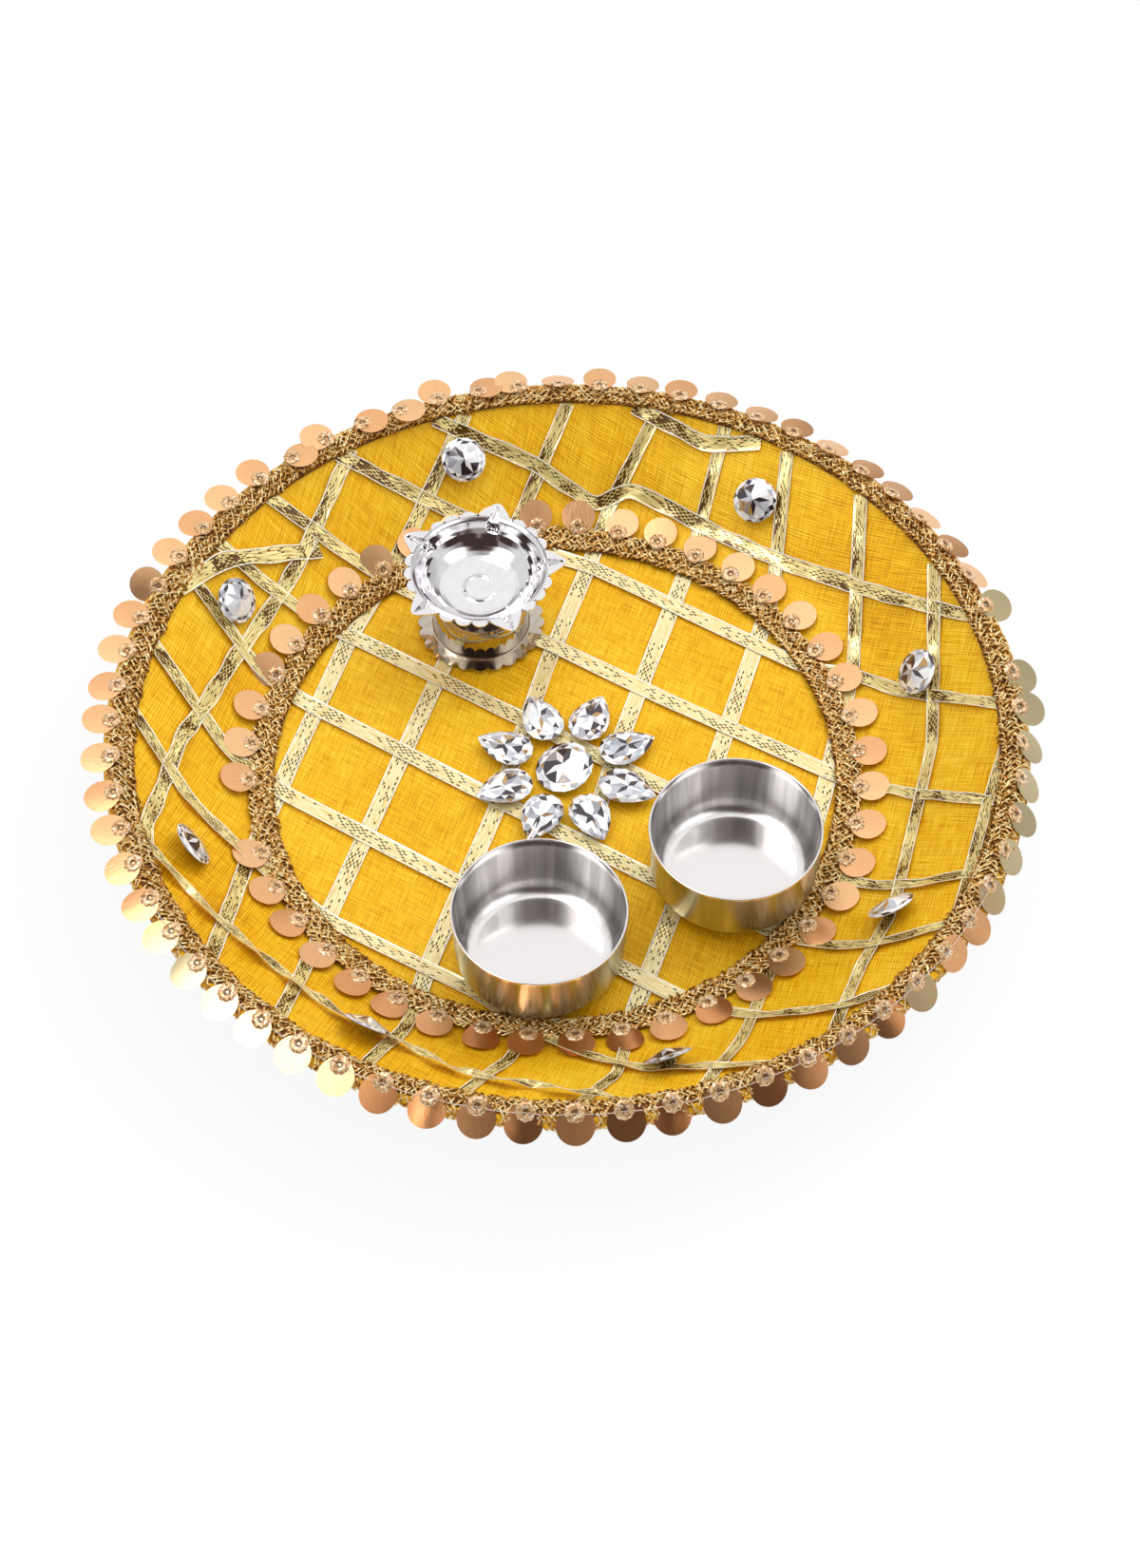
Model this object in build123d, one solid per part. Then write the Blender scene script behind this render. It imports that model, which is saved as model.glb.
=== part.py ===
"""Puja thali: a cloth-covered steel plate with a ribbon lattice, braids, sequins and crystals.

Two loose steel bowls and a loose star-rimmed diya stand in it. Millimetres, +Z up. The origin is the
centre of the plate's flat underside, on the surface that the plate stands on.
"""
import math
import os
from dataclasses import dataclass, replace

from build123d import *

# steel plate
PLATE_BASE_RADIUS = 82.0
PLATE_BEND_RADIUS = 45.0
PLATE_WALL_ANGLE = 36.0
PLATE_WALL_WIDTH = 53.0
PLATE_SHEET = 0.8
PLATE_BEAD_RADIUS = 1.5
PLATE_RIM_RADIUS = PLATE_BASE_RADIUS + PLATE_WALL_WIDTH

# cloth, ribbons and braids
GLUE_LINE = 0.15
CLOTH_THICKNESS = 0.3
RIBBON_THICKNESS = 0.2
RIBBON_WIDTH = 5.3
BRAID_WIDTH = 7.5
BRAID_THICKNESS = 1.3
BRAID_OVERHANG = 1.5
INNER_BRAID_STEP = 5.0
INNER_BRAID_OVAL = 1.35
INNER_BRAID_SHIFT = -3.4

# sequins and rosettes
SEQUIN_RADIUS = 5.2
SEQUIN_THICKNESS = 0.25
SEQUIN_INSET = 2.2
SEQUIN_CLEARANCE = 0.3
ROSETTE_RADIUS = 2.7
ROSETTE_THICKNESS = 0.8
ROSETTE_HOLE_RADIUS = 0.6
ROSETTE_INSET = 0.3
OUTER_SEQUIN_COUNT = 64
OUTER_FIRST_ANGLE = 91.0
OUTER_EMPTY_INDEX = 14
INNER_SEQUIN_COUNT = 44
INNER_FIRST_ANGLE = 93.7
INNER_EMPTY_INDEX = 32
DROOP_MEAN_ANGLE = 22.0
DROOP_RIGHT_ANGLE = 20.0
DROOP_FRONT_ANGLE = 12.0
DROOP_SCATTER_ANGLE = 5.0
SCATTER_STEP_ANGLE = 137.5

# crystals
WALL_CRYSTAL_RADIUS = 7.2
FLOWER_CENTRE_RADIUS = 9.0
PETAL_LENGTH = 18.0
PETAL_WIDTH = 12.4
PETAL_CLEARANCE = 0.58
PETAL_COUNT = 8
PETAL_FIRST_ANGLE = 22.5
PETAL_TAPER_EXPONENT = 0.7
CRYSTAL_FACET_COUNT = 16
CRYSTAL_GIRDLE = 1.0
CRYSTAL_CROWN = 1.5
CRYSTAL_PEAK = 0.8
CRYSTAL_TABLE_SHARE = 0.55

# bowls
BOWL_RIM_RADIUS = 25.5
BOWL_HEIGHT = 22.6
BOWL_HEEL_RADIUS = 6.0
BOWL_WALL_ANGLE = 87.0
BOWL_SHEET = 0.7
BOWL_RIM_ROUND = 0.3
BOWL_STEP_RADIUS = 0.35
BOWL_FOOT_GAP = 3.0
LOOSE_CLEARANCE = 0.3
LEFT_BOWL_ANGLE = 263.4
RIGHT_BOWL_ANGLE = -37.0

# diya
DIYA_ANGLE = 114.8
DIYA_FOOT_GAP = 5.0
DIYA_SHEET = 0.5
DISH_RIM_RADIUS = 20.0
DISH_DEPTH = 10.5
DISH_BEND_RADIUS = 8.0
DISH_WALL_ANGLE = 62.0
DISH_RING_RADIUS = 5.0
DISH_RING_ROUND = 0.4
STAR_TIP_COUNT = 5
STAR_FIRST_ANGLE = 6.0
STAR_TIP_RADIUS = 30.3
STAR_TIP_HALF_WIDTH = 7.2
STAR_TIP_ROUND = 1.6
STAR_SCALLOP_COUNT = 3
STAR_SCALLOP_STEP_ANGLE = 14.0
STAR_SCALLOP_RADIUS = 2.7
STAR_SCALLOP_REACH = 23.4
WICK_ROOT_RADIUS = 1.9
WICK_END_RADIUS = 0.2
WICK_START = 17.5
WICK_END = 26.5
FOOT_RIM_RADIUS = 15.2
FOOT_HEIGHT = 16.4
FOOT_BEND_RADIUS = 9.0
FOOT_WALL_ANGLE = 86.0
FOOT_FLANGE_RADIUS = 20.0
FOOT_SCALLOP_COUNT = 24
FOOT_SCALLOP_RADIUS = 2.5

# heights above the plate's underside, layer by layer
CLOTH_LOW = PLATE_SHEET + GLUE_LINE
CLOTH_HIGH = CLOTH_LOW + CLOTH_THICKNESS
STEEP_RIBBON_LOW = CLOTH_HIGH + GLUE_LINE
STEEP_RIBBON_HIGH = STEEP_RIBBON_LOW + RIBBON_THICKNESS
FLAT_RIBBON_LOW = STEEP_RIBBON_HIGH + GLUE_LINE
FLAT_RIBBON_HIGH = FLAT_RIBBON_LOW + RIBBON_THICKNESS
SEAT = FLAT_RIBBON_HIGH + GLUE_LINE
BRAID_TOP = SEAT + BRAID_THICKNESS

# plan places of the ribbons, from rim to rim, as shares of the rim radius
FLAT_RIBBON_SHARES = [
    [(0.165, 0.97), (0.34, 0.855), (0.465, 0.84)],
    [
        (-0.34, 0.97), (-0.08, 0.845), (0.075, 0.76), (0.15, 0.79),
        (0.235, 0.75), (0.615, 0.515), (0.96, 0.315),
    ],
    [
        (-0.58, 0.85), (-0.25, 0.725), (0.06, 0.605), (0.545, 0.305),
        (0.67, 0.26), (0.77, 0.18), (1.0, 0.05),
    ],
    [
        (-0.76, 0.72), (-0.46, 0.57), (-0.04, 0.37), (0.23, 0.205),
        (0.59, 0.0), (0.72, -0.065), (1.0, -0.23),
    ],
    [
        (-0.88, 0.57), (-0.725, 0.48), (-0.49, 0.385), (0.235, -0.055),
        (0.645, -0.32), (0.75, -0.37), (0.92, -0.415),
    ],
    [
        (-0.94, 0.465), (-0.71, 0.265), (-0.21, -0.045), (0.205, -0.30),
        (0.58, -0.495), (0.665, -0.525), (0.85, -0.555),
    ],
    [
        (-0.98, 0.245), (-0.755, 0.02), (-0.635, -0.06), (0.245, -0.60),
        (0.405, -0.68), (0.565, -0.71), (0.71, -0.71),
    ],
    [
        (-0.99, 0.045), (-0.83, -0.145), (-0.52, -0.40), (-0.19, -0.585),
        (0.02, -0.755), (0.16, -0.83), (0.43, -0.87),
    ],
    [
        (-0.94, -0.305), (-0.765, -0.46), (-0.475, -0.70), (-0.36, -0.755),
        (-0.21, -0.86), (-0.05, -0.895), (0.145, -0.975),
    ],
]
STEEP_RIBBON_SHARES = [
    [
        (-0.525, 0.845), (-0.63, 0.535), (-0.765, 0.26),
        (-0.86, 0.005), (-0.905, -0.27), (-0.925, -0.385),
    ],
    [
        (-0.25, 0.97), (-0.40, 0.62), (-0.505, 0.395),
        (-0.625, 0.02), (-0.70, -0.26), (-0.765, -0.64),
    ],
    [
        (0.005, 0.995), (-0.115, 0.73), (-0.28, 0.32),
        (-0.52, -0.395), (-0.55, -0.525), (-0.615, -0.795),
    ],
    [
        (0.23, 0.98), (0.10, 0.75), (-0.045, 0.31), (-0.16, -0.115),
        (-0.30, -0.525), (-0.34, -0.715), (-0.425, -0.90),
    ],
    [(0.395, 0.92), (0.30, 0.63), (0.19, 0.30), (0.13, 0.11), (-0.115, -0.78), (-0.205, -0.92)],
    [
        (0.545, 0.84), (0.49, 0.515), (0.335, 0.015), (0.235, -0.37),
        (0.145, -0.63), (0.105, -0.84), (0.02, -0.97),
    ],
    [(0.72, 0.70), (0.665, 0.28), (0.575, -0.08), (0.40, -0.65), (0.365, -0.755), (0.27, -0.94)],
    [(0.88, 0.48), (0.835, 0.21), (0.82, 0.015), (0.70, -0.435), (0.625, -0.575), (0.545, -0.81)],
    [(0.965, -0.06), (0.915, -0.205), (0.83, -0.515)],
]
RIBBON_TAIL_SHARES = [(-0.90, 0.385), (-0.785, 0.49), (-0.58, 0.585)]

# plan places of the wall crystals: the angle, and the share of the way from the inner to the outer braid
WALL_CRYSTAL_SHARES = [
    (106.6, 0.706),
    (57.6, 0.656),
    (152.8, 0.700),
    (14.1, 0.634),
    (-160.0, 0.723),
    (-32.4, 0.609),
    (-119.0, 0.676),
    (-75.5, 0.664),
]


@dataclass(frozen=True)
class Cup:
    """A pressed round shape measured on its outer skin: a flat base, a bend and a straight wall."""

    base_radius: float
    bend_radius: float
    wall_angle: float
    wall_length: float

    def bend_point(self, height, angle):
        """A point of the bend, at a height above the outer skin and an angle of turn."""
        radius = self.bend_radius - height
        turn = math.radians(angle)
        return self.base_radius + radius * math.sin(turn), self.bend_radius - radius * math.cos(turn)

    def wall_point(self, height, along):
        """A point of the wall, at a height above the outer skin and a length along the wall."""
        start = self.bend_point(height, self.wall_angle)
        turn = math.radians(self.wall_angle)
        return start[0] + along * math.cos(turn), start[1] + along * math.sin(turn)

    def skin(self, height, along):
        """The edges of one skin of the cup, from the axis to a length along the wall."""
        flat_end = self.bend_point(height, 0)
        middle = self.bend_point(height, self.wall_angle / 2)
        bend_end = self.bend_point(height, self.wall_angle)
        flat = Line((0, height), flat_end)
        bend = ThreePointArc(flat_end, middle, bend_end)
        wall = Line(bend_end, self.wall_point(height, along))
        return [flat, bend, wall]

    def layer(self, low, high):
        """The round solid between two skins of the cup."""
        edges = self.skin(low, self.wall_length) + self.skin(high, self.wall_length)
        edges.append(Line((0, low), (0, high)))
        edges.append(Line(self.wall_point(low, self.wall_length), self.wall_point(high, self.wall_length)))
        return turned(edges)

    def surface(self, radius, height):
        """The height of a skin at a plan radius, and the angle that it slopes by there."""
        bend = self.bend_radius - height
        bend_end = self.bend_point(height, self.wall_angle)
        if radius <= self.base_radius:
            return height, 0.0
        if radius < bend_end[0]:
            run = radius - self.base_radius
            return self.bend_radius - math.sqrt(bend**2 - run**2), math.degrees(math.asin(run / bend))
        rise = (radius - bend_end[0]) * math.tan(math.radians(self.wall_angle))
        return bend_end[1] + rise, self.wall_angle


def turned(edges):
    """The solid that a closed outline of radius and height sweeps about the upright axis."""
    return revolve(Plane.XZ * make_face(edges), Axis.Z)


def cup_to_height(rim_radius, height, bend_radius, wall_angle):
    """The cup whose outer skin reaches a rim radius at a height."""
    turn = math.radians(wall_angle)
    wall_rise = height - bend_radius * (1 - math.cos(turn))
    base_radius = rim_radius - bend_radius * math.sin(turn) - wall_rise / math.tan(turn)
    return Cup(base_radius, bend_radius, wall_angle, wall_rise / math.sin(turn))


def plate_cup():
    """The plate's cup, whose wall ends where the rolled bead starts."""
    turn = math.radians(PLATE_WALL_ANGLE)
    run = PLATE_WALL_WIDTH - PLATE_BEND_RADIUS * math.sin(turn)
    return Cup(PLATE_BASE_RADIUS, PLATE_BEND_RADIUS, PLATE_WALL_ANGLE, run / math.cos(turn))


PLATE = plate_cup()


@dataclass(frozen=True)
class Oval:
    """An oval ring in plan: its half widths, and how far its centre lies along X."""

    half_x: float
    half_y: float
    shift: float

    def grown(self, step):
        """The oval at a distance outside this one."""
        return Oval(self.half_x + step, self.half_y + step, self.shift)

    def point(self, angle):
        """The plan point at an angle."""
        turn = math.radians(angle)
        return self.shift + self.half_x * math.cos(turn), self.half_y * math.sin(turn)

    def outward(self, angle):
        """The direction that faces straight out of the oval at an angle, in degrees."""
        turn = math.radians(angle)
        return math.degrees(math.atan2(self.half_x * math.sin(turn), self.half_y * math.cos(turn)))

    def reach(self, angle):
        """The distance from the plate's axis to the oval, in the direction of an angle."""
        turn = math.radians(angle)
        step_x = math.cos(turn) / self.half_x
        step_y = math.sin(turn) / self.half_y
        offset = self.shift / self.half_x
        square = step_x**2 + step_y**2
        middle = step_x * offset / square
        return middle + math.sqrt(middle**2 + (1 - offset**2) / square)

    def disc(self):
        """The tall solid that fills the oval."""
        face = Pos(self.shift, 0, 0) * Ellipse(self.half_x, self.half_y)
        return extrude(face, PLATE_RIM_RADIUS)


INNER_EDGE = Oval(
    PLATE_BASE_RADIUS + INNER_BRAID_STEP - INNER_BRAID_OVAL,
    PLATE_BASE_RADIUS + INNER_BRAID_STEP + INNER_BRAID_OVAL,
    INNER_BRAID_SHIFT,
)
OVERHUNG_PLATE = replace(PLATE, wall_length=PLATE.wall_length + BRAID_OVERHANG)
OUTER_EDGE_RADIUS = OVERHUNG_PLATE.wall_point(BRAID_TOP, OVERHUNG_PLATE.wall_length)[0] - BRAID_WIDTH
OUTER_EDGE = Oval(OUTER_EDGE_RADIUS, OUTER_EDGE_RADIUS, 0)


def on_plate(radius, angle, height):
    """The place on the plate at a plan radius, angle and height, with X up the slope and Z square to it."""
    level, slope = PLATE.surface(radius, height)
    turn = math.radians(angle)
    point = Pos(radius * math.cos(turn), radius * math.sin(turn), level)
    return point * Rot(0, 0, angle) * Rot(0, -slope, 0)


def steel_plate():
    """The pressed sheet, with a bead rolled under its rim."""
    turn = math.radians(PLATE_WALL_ANGLE)
    rim = PLATE.wall_point(PLATE_SHEET, PLATE.wall_length)
    centre = (rim[0] + PLATE_BEAD_RADIUS * math.sin(turn), rim[1] - PLATE_BEAD_RADIUS * math.cos(turn))
    outermost_x = centre[0] + PLATE_BEAD_RADIUS * math.cos(turn)
    outermost_z = centre[1] + PLATE_BEAD_RADIUS * math.sin(turn)
    tuck = math.sqrt(PLATE_BEAD_RADIUS**2 - (PLATE_BEAD_RADIUS - PLATE_SHEET) ** 2)
    under_end = PLATE.wall_length - tuck
    edges = PLATE.skin(0, under_end) + PLATE.skin(PLATE_SHEET, PLATE.wall_length)
    edges.append(ThreePointArc(PLATE.wall_point(0, under_end), (outermost_x, outermost_z), rim))
    edges.append(Line((0, 0), (0, PLATE_SHEET)))
    return turned(edges)


def ribbon(layer, route_shares):
    """A flat ribbon along a plan route, cut out of a layer that follows the plate."""
    strip = Sketch()
    for start, end in zip(route_shares, route_shares[1:]):
        run = (Vector(*end) - Vector(*start)) * PLATE_RIM_RADIUS
        middle = (Vector(*end) + Vector(*start)) * PLATE_RIM_RADIUS / 2
        angle = math.degrees(math.atan2(run.Y, run.X))
        strip += Pos(middle) * Rot(0, 0, angle) * SlotCenterToCenter(run.length, RIBBON_WIDTH)
    return layer & extrude(strip, PLATE_RIM_RADIUS)


def inner_braid():
    """The oval braid ring around the flat base."""
    ring = INNER_EDGE.grown(BRAID_WIDTH).disc() - INNER_EDGE.disc()
    return PLATE.layer(SEAT, BRAID_TOP) & ring


def outer_braid():
    """The round braid ring at the rim, which hangs over the bead a little."""
    return OVERHUNG_PLATE.layer(SEAT, BRAID_TOP) - OUTER_EDGE.disc()


def outer_tilt(angle, place, pivot):
    """How far an outer sequin points up: the ones in front and on the right droop most."""
    turn = math.radians(angle)
    droop = DROOP_MEAN_ANGLE + DROOP_RIGHT_ANGLE * math.cos(turn) - DROOP_FRONT_ANGLE * math.sin(turn)
    return DROOP_SCATTER_ANGLE * math.sin(math.radians(place * SCATTER_STEP_ANGLE)) - droop


def inner_tilt(angle, place, pivot):
    """How far an inner sequin points up: its tip rests just over the lattice on the wall."""
    reach = 2 * SEQUIN_RADIUS - SEQUIN_INSET
    tip_level = PLATE.surface(math.hypot(pivot.X, pivot.Y) + reach, SEAT)[0]
    return math.degrees(math.atan2(tip_level + SEQUIN_CLEARANCE - pivot.Z, reach))


def sequin_places(inner_edge, places, first_angle, empty_place, tilt):
    """The places of a braid's sequins, each at the braid's outer edge with X pointing along the disc."""
    edge = inner_edge.grown(BRAID_WIDTH)
    for place in range(places):
        if place == empty_place:
            continue
        angle = first_angle - 360 * place / places
        x, y = edge.point(angle)
        level = PLATE.surface(math.hypot(x, y), BRAID_TOP)[0]
        pivot = Vector(x, y, level + SEQUIN_CLEARANCE)
        yield Pos(pivot) * Rot(0, 0, edge.outward(angle)) * Rot(0, -tilt(angle, place, pivot), 0)


def sequins(places):
    """The thin discs of one braid."""
    disc = Cylinder(SEQUIN_RADIUS, SEQUIN_THICKNESS, align=(Align.CENTER, Align.CENTER, Align.MIN))
    disc = Pos(SEQUIN_RADIUS - SEQUIN_INSET, 0, 0) * disc
    return Compound([place * disc for place in places])


def rosettes(places):
    """The glitter rings over the roots of one braid's sequins."""
    align = (Align.CENTER, Align.CENTER, Align.MIN)
    ring = Cylinder(ROSETTE_RADIUS, ROSETTE_THICKNESS, align=align)
    ring -= Cylinder(ROSETTE_HOLE_RADIUS, ROSETTE_THICKNESS, align=align)
    ring = Pos(-ROSETTE_INSET, 0, SEQUIN_THICKNESS) * ring
    return Compound([place * ring for place in places])


def round_outline(radius):
    """The corners of a round crystal."""
    turns = [2 * math.pi * corner / CRYSTAL_FACET_COUNT for corner in range(CRYSTAL_FACET_COUNT)]
    return [(radius * math.cos(turn), radius * math.sin(turn)) for turn in turns]


def pear_outline():
    """The corners of a pear-shaped crystal whose point faces +X: a teardrop curve."""
    turns = [2 * math.pi * corner / CRYSTAL_FACET_COUNT for corner in range(CRYSTAL_FACET_COUNT)]
    swells = [math.sin(turn) * math.sin(turn / 2) ** PETAL_TAPER_EXPONENT for turn in turns]
    widest = max(swells)
    return [
        (PETAL_LENGTH / 2 * math.cos(turn), PETAL_WIDTH / 2 * swell / widest)
        for turn, swell in zip(turns, swells)
    ]


def crystal(outline):
    """A foiled crystal: a flat back, an upright girdle, crown facets and low facets up to a point."""
    table = [(x * CRYSTAL_TABLE_SHARE, y * CRYSTAL_TABLE_SHARE) for x, y in outline]
    back = Wire.make_polygon([Vector(x, y, 0) for x, y in outline])
    girdle = Wire.make_polygon([Vector(x, y, CRYSTAL_GIRDLE) for x, y in outline])
    crown = Wire.make_polygon([Vector(x, y, CRYSTAL_GIRDLE + CRYSTAL_CROWN) for x, y in table])
    peak = Vertex(0, 0, CRYSTAL_GIRDLE + CRYSTAL_CROWN + CRYSTAL_PEAK)
    return Solid.make_loft([back, girdle, crown, peak], ruled=True)


def petal(place):
    """One pear-shaped crystal, point outwards, which clears its neighbours where it is widest."""
    outline = pear_outline()
    widest = max(outline, key=lambda corner: corner[1])
    orbit = (PETAL_WIDTH + PETAL_CLEARANCE) / 2 / math.sin(math.pi / PETAL_COUNT)
    angle = PETAL_FIRST_ANGLE + 360 * place / PETAL_COUNT
    return Rot(0, 0, angle) * Pos(orbit - widest[0], 0, SEAT) * crystal(outline)


def wall_crystal(angle, band_share):
    """One round crystal between the braids, lifted to clear the hollow of the round wall."""
    inner = INNER_EDGE.grown(BRAID_WIDTH).reach(angle)
    radius = inner + band_share * (OUTER_EDGE_RADIUS - inner)
    hollow = WALL_CRYSTAL_RADIUS**2 * math.sin(math.radians(PLATE_WALL_ANGLE)) / (2 * radius)
    place = on_plate(radius, angle, SEAT + hollow)
    return place * crystal(round_outline(WALL_CRYSTAL_RADIUS))


def bowl_shell(cup):
    """A pressed bowl with a rounded rim and a fine ring pressed in above its floor."""
    shell = cup.layer(0, BOWL_SHEET)
    rim_edges = shell.edges().group_by(Axis.Z)[-1] + shell.edges().group_by(Axis.Z)[-2]
    shell = fillet(rim_edges, BOWL_RIM_ROUND)
    ring_place = cup.wall_point(BOWL_SHEET, 0)
    return shell + turned([Pos(*ring_place) * CenterArc((0, 0), BOWL_STEP_RADIUS, 0, 360)])


def bowl(angle):
    """A bowl whose outer heel rides on the inner braid, so that it leans a little inwards."""
    cup = cup_to_height(BOWL_RIM_RADIUS, BOWL_HEIGHT, BOWL_HEEL_RADIUS, BOWL_WALL_ANGLE)
    edge = INNER_EDGE.reach(angle)
    orbit = edge - BOWL_FOOT_GAP - cup.base_radius
    heel_rise = BOWL_HEEL_RADIUS - math.sqrt(BOWL_HEEL_RADIUS**2 - BOWL_FOOT_GAP**2)
    braid_level = PLATE.surface(edge, BRAID_TOP)[0]
    lift = max(0, braid_level - SEAT - heel_rise)
    lean = math.degrees(math.atan2(lift, edge - orbit + cup.base_radius))
    inner_foot = Pos(orbit - cup.base_radius, 0, SEAT + LOOSE_CLEARANCE) * Rot(0, -lean, 0)
    return Rot(0, 0, angle) * inner_foot * Pos(cup.base_radius, 0, 0) * bowl_shell(cup)


def scallops(count, first_angle, step, radius, reach):
    """A row of round scallops that reach out to a radius."""
    row = Sketch()
    for place in range(count):
        row += Rot(0, 0, first_angle + place * step) * Pos(reach - radius, 0, 0) * Circle(radius)
    return row


def star_face():
    """The star-shaped rim of the dish: pointed tips with scallops between them."""
    base = DISH_RIM_RADIUS - STAR_TIP_ROUND
    corners = [(base, -STAR_TIP_HALF_WIDTH), (STAR_TIP_RADIUS, 0), (base, STAR_TIP_HALF_WIDTH)]
    tip = make_face(Polyline(*corners, close=True))
    tip = fillet(tip.vertices().sort_by(Axis.X)[-1], STAR_TIP_ROUND)
    pitch = 360 / STAR_TIP_COUNT
    first_scallop = (pitch - STAR_SCALLOP_STEP_ANGLE * (STAR_SCALLOP_COUNT - 1)) / 2
    star = Sketch() + Circle(STAR_SCALLOP_REACH - STAR_SCALLOP_RADIUS)
    for place in range(STAR_TIP_COUNT):
        angle = STAR_FIRST_ANGLE + place * pitch
        star += Rot(0, 0, angle) * tip
        start = angle + first_scallop
        star += scallops(
            STAR_SCALLOP_COUNT, start, STAR_SCALLOP_STEP_ANGLE, STAR_SCALLOP_RADIUS, STAR_SCALLOP_REACH
        )
    return star


def wick_cones(wall):
    """The five cones of the wick channels, grown by a wall, level with the top of the star."""
    cone = Cone(WICK_ROOT_RADIUS + wall, WICK_END_RADIUS + wall, WICK_END - WICK_START)
    middle = (WICK_START + WICK_END) / 2
    cone = Pos(middle, 0, 0) * Rot(0, 90, 0) * cone
    pitch = 360 / STAR_TIP_COUNT
    return [Rot(0, 0, STAR_FIRST_ANGLE + place * pitch) * cone for place in range(STAR_TIP_COUNT)]


def diya_dish():
    """The star-rimmed dish, with a pressed ring in its floor and five wick channels."""
    cup = cup_to_height(DISH_RIM_RADIUS, DISH_DEPTH, DISH_BEND_RADIUS, DISH_WALL_ANGLE)
    top = Pos(0, 0, DISH_DEPTH)
    below = Pos(0, 0, DISH_DEPTH / 2) * Box(2 * WICK_END, 2 * WICK_END, DISH_DEPTH)
    dish = cup.layer(0, DIYA_SHEET) + Pos(0, 0, DISH_DEPTH - DIYA_SHEET) * extrude(star_face(), DIYA_SHEET)
    dish += [top * cone & below for cone in wick_cones(DIYA_SHEET)]
    hollow_edges = cup.skin(DIYA_SHEET, cup.wall_length)
    mouth = cup.wall_point(DIYA_SHEET, cup.wall_length)
    hollow_edges.append(Line(mouth, (0, mouth[1])))
    hollow_edges.append(Line((0, mouth[1]), (0, DIYA_SHEET)))
    dish -= turned(hollow_edges)
    dish -= [top * cone for cone in wick_cones(0)]
    return dish + Pos(0, 0, DIYA_SHEET) * Torus(DISH_RING_RADIUS, DISH_RING_ROUND)


def diya_foot():
    """The foot: a dome with a scalloped flange, open underneath."""
    cup = cup_to_height(FOOT_RIM_RADIUS, FOOT_HEIGHT, FOOT_BEND_RADIUS, FOOT_WALL_ANGLE)
    dome = Pos(0, 0, FOOT_HEIGHT) * Rot(180, 0, 0) * cup.layer(0, DIYA_SHEET)
    ring = Circle(FOOT_FLANGE_RADIUS - FOOT_SCALLOP_RADIUS)
    pitch = 360 / FOOT_SCALLOP_COUNT
    ring += scallops(FOOT_SCALLOP_COUNT, 0, pitch, FOOT_SCALLOP_RADIUS, FOOT_FLANGE_RADIUS)
    ring -= Circle(FOOT_RIM_RADIUS - DIYA_SHEET)
    return dome + extrude(ring, DIYA_SHEET)


def diya_place():
    """The place of the diya's foot on the lattice."""
    orbit = INNER_EDGE.reach(DIYA_ANGLE) - DIYA_FOOT_GAP - FOOT_FLANGE_RADIUS
    turn = math.radians(DIYA_ANGLE)
    return Pos(orbit * math.cos(turn), orbit * math.sin(turn), SEAT)


def build():
    """Every piece of the thali, by name."""
    flat_layer = PLATE.layer(FLAT_RIBBON_LOW, FLAT_RIBBON_HIGH)
    steep_layer = PLATE.layer(STEEP_RIBBON_LOW, STEEP_RIBBON_HIGH)
    tail_layer = PLATE.layer(SEAT, SEAT + RIBBON_THICKNESS) & OUTER_EDGE.grown(-GLUE_LINE).disc()
    outer = list(
        sequin_places(OUTER_EDGE, OUTER_SEQUIN_COUNT, OUTER_FIRST_ANGLE, OUTER_EMPTY_INDEX, outer_tilt)
    )
    inner = list(
        sequin_places(INNER_EDGE, INNER_SEQUIN_COUNT, INNER_FIRST_ANGLE, INNER_EMPTY_INDEX, inner_tilt)
    )
    pieces = {
        "steel_plate": steel_plate(),
        "cloth_cover": PLATE.layer(CLOTH_LOW, CLOTH_HIGH),
        "ribbon_tail": ribbon(tail_layer, RIBBON_TAIL_SHARES),
        "inner_braid": inner_braid(),
        "outer_braid": outer_braid(),
        "outer_sequins": sequins(outer),
        "outer_rosettes": rosettes(outer),
        "inner_sequins": sequins(inner),
        "inner_rosettes": rosettes(inner),
        "flower_centre": Pos(0, 0, SEAT) * crystal(round_outline(FLOWER_CENTRE_RADIUS)),
        "left_bowl": bowl(LEFT_BOWL_ANGLE),
        "right_bowl": bowl(RIGHT_BOWL_ANGLE),
        "diya_foot": diya_place() * diya_foot(),
        "diya_dish": diya_place() * Pos(0, 0, FOOT_HEIGHT) * diya_dish(),
    }
    for number, route_shares in enumerate(FLAT_RIBBON_SHARES, 1):
        pieces[f"flat_ribbon_{number}"] = ribbon(flat_layer, route_shares)
    for number, route_shares in enumerate(STEEP_RIBBON_SHARES, 1):
        pieces[f"steep_ribbon_{number}"] = ribbon(steep_layer, route_shares)
    for place in range(PETAL_COUNT):
        pieces[f"flower_petal_{place + 1}"] = petal(place)
    for number, (angle, band_share) in enumerate(WALL_CRYSTAL_SHARES, 1):
        pieces[f"wall_crystal_{number}"] = wall_crystal(angle, band_share)
    return pieces


os.makedirs("parts", exist_ok=True)
for name, shape in build().items():
    export_step(shape, f"parts/{name}.step")
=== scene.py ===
"""Dressed puja thali: a cloth-covered steel plate with ribbons, braids, sequins and crystals.

Two steel bowls and a star-rimmed diya stand in it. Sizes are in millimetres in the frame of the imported
model, +Z up, with the origin at the centre of the plate's flat underside. Every new piece is a surface
worked out as whole arrays, and it turns into metres when its mesh is made.
"""

import logging
import math
from dataclasses import dataclass, field
from enum import Enum

import bmesh
import bpy
import numpy as np
from mathutils import Matrix


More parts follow.
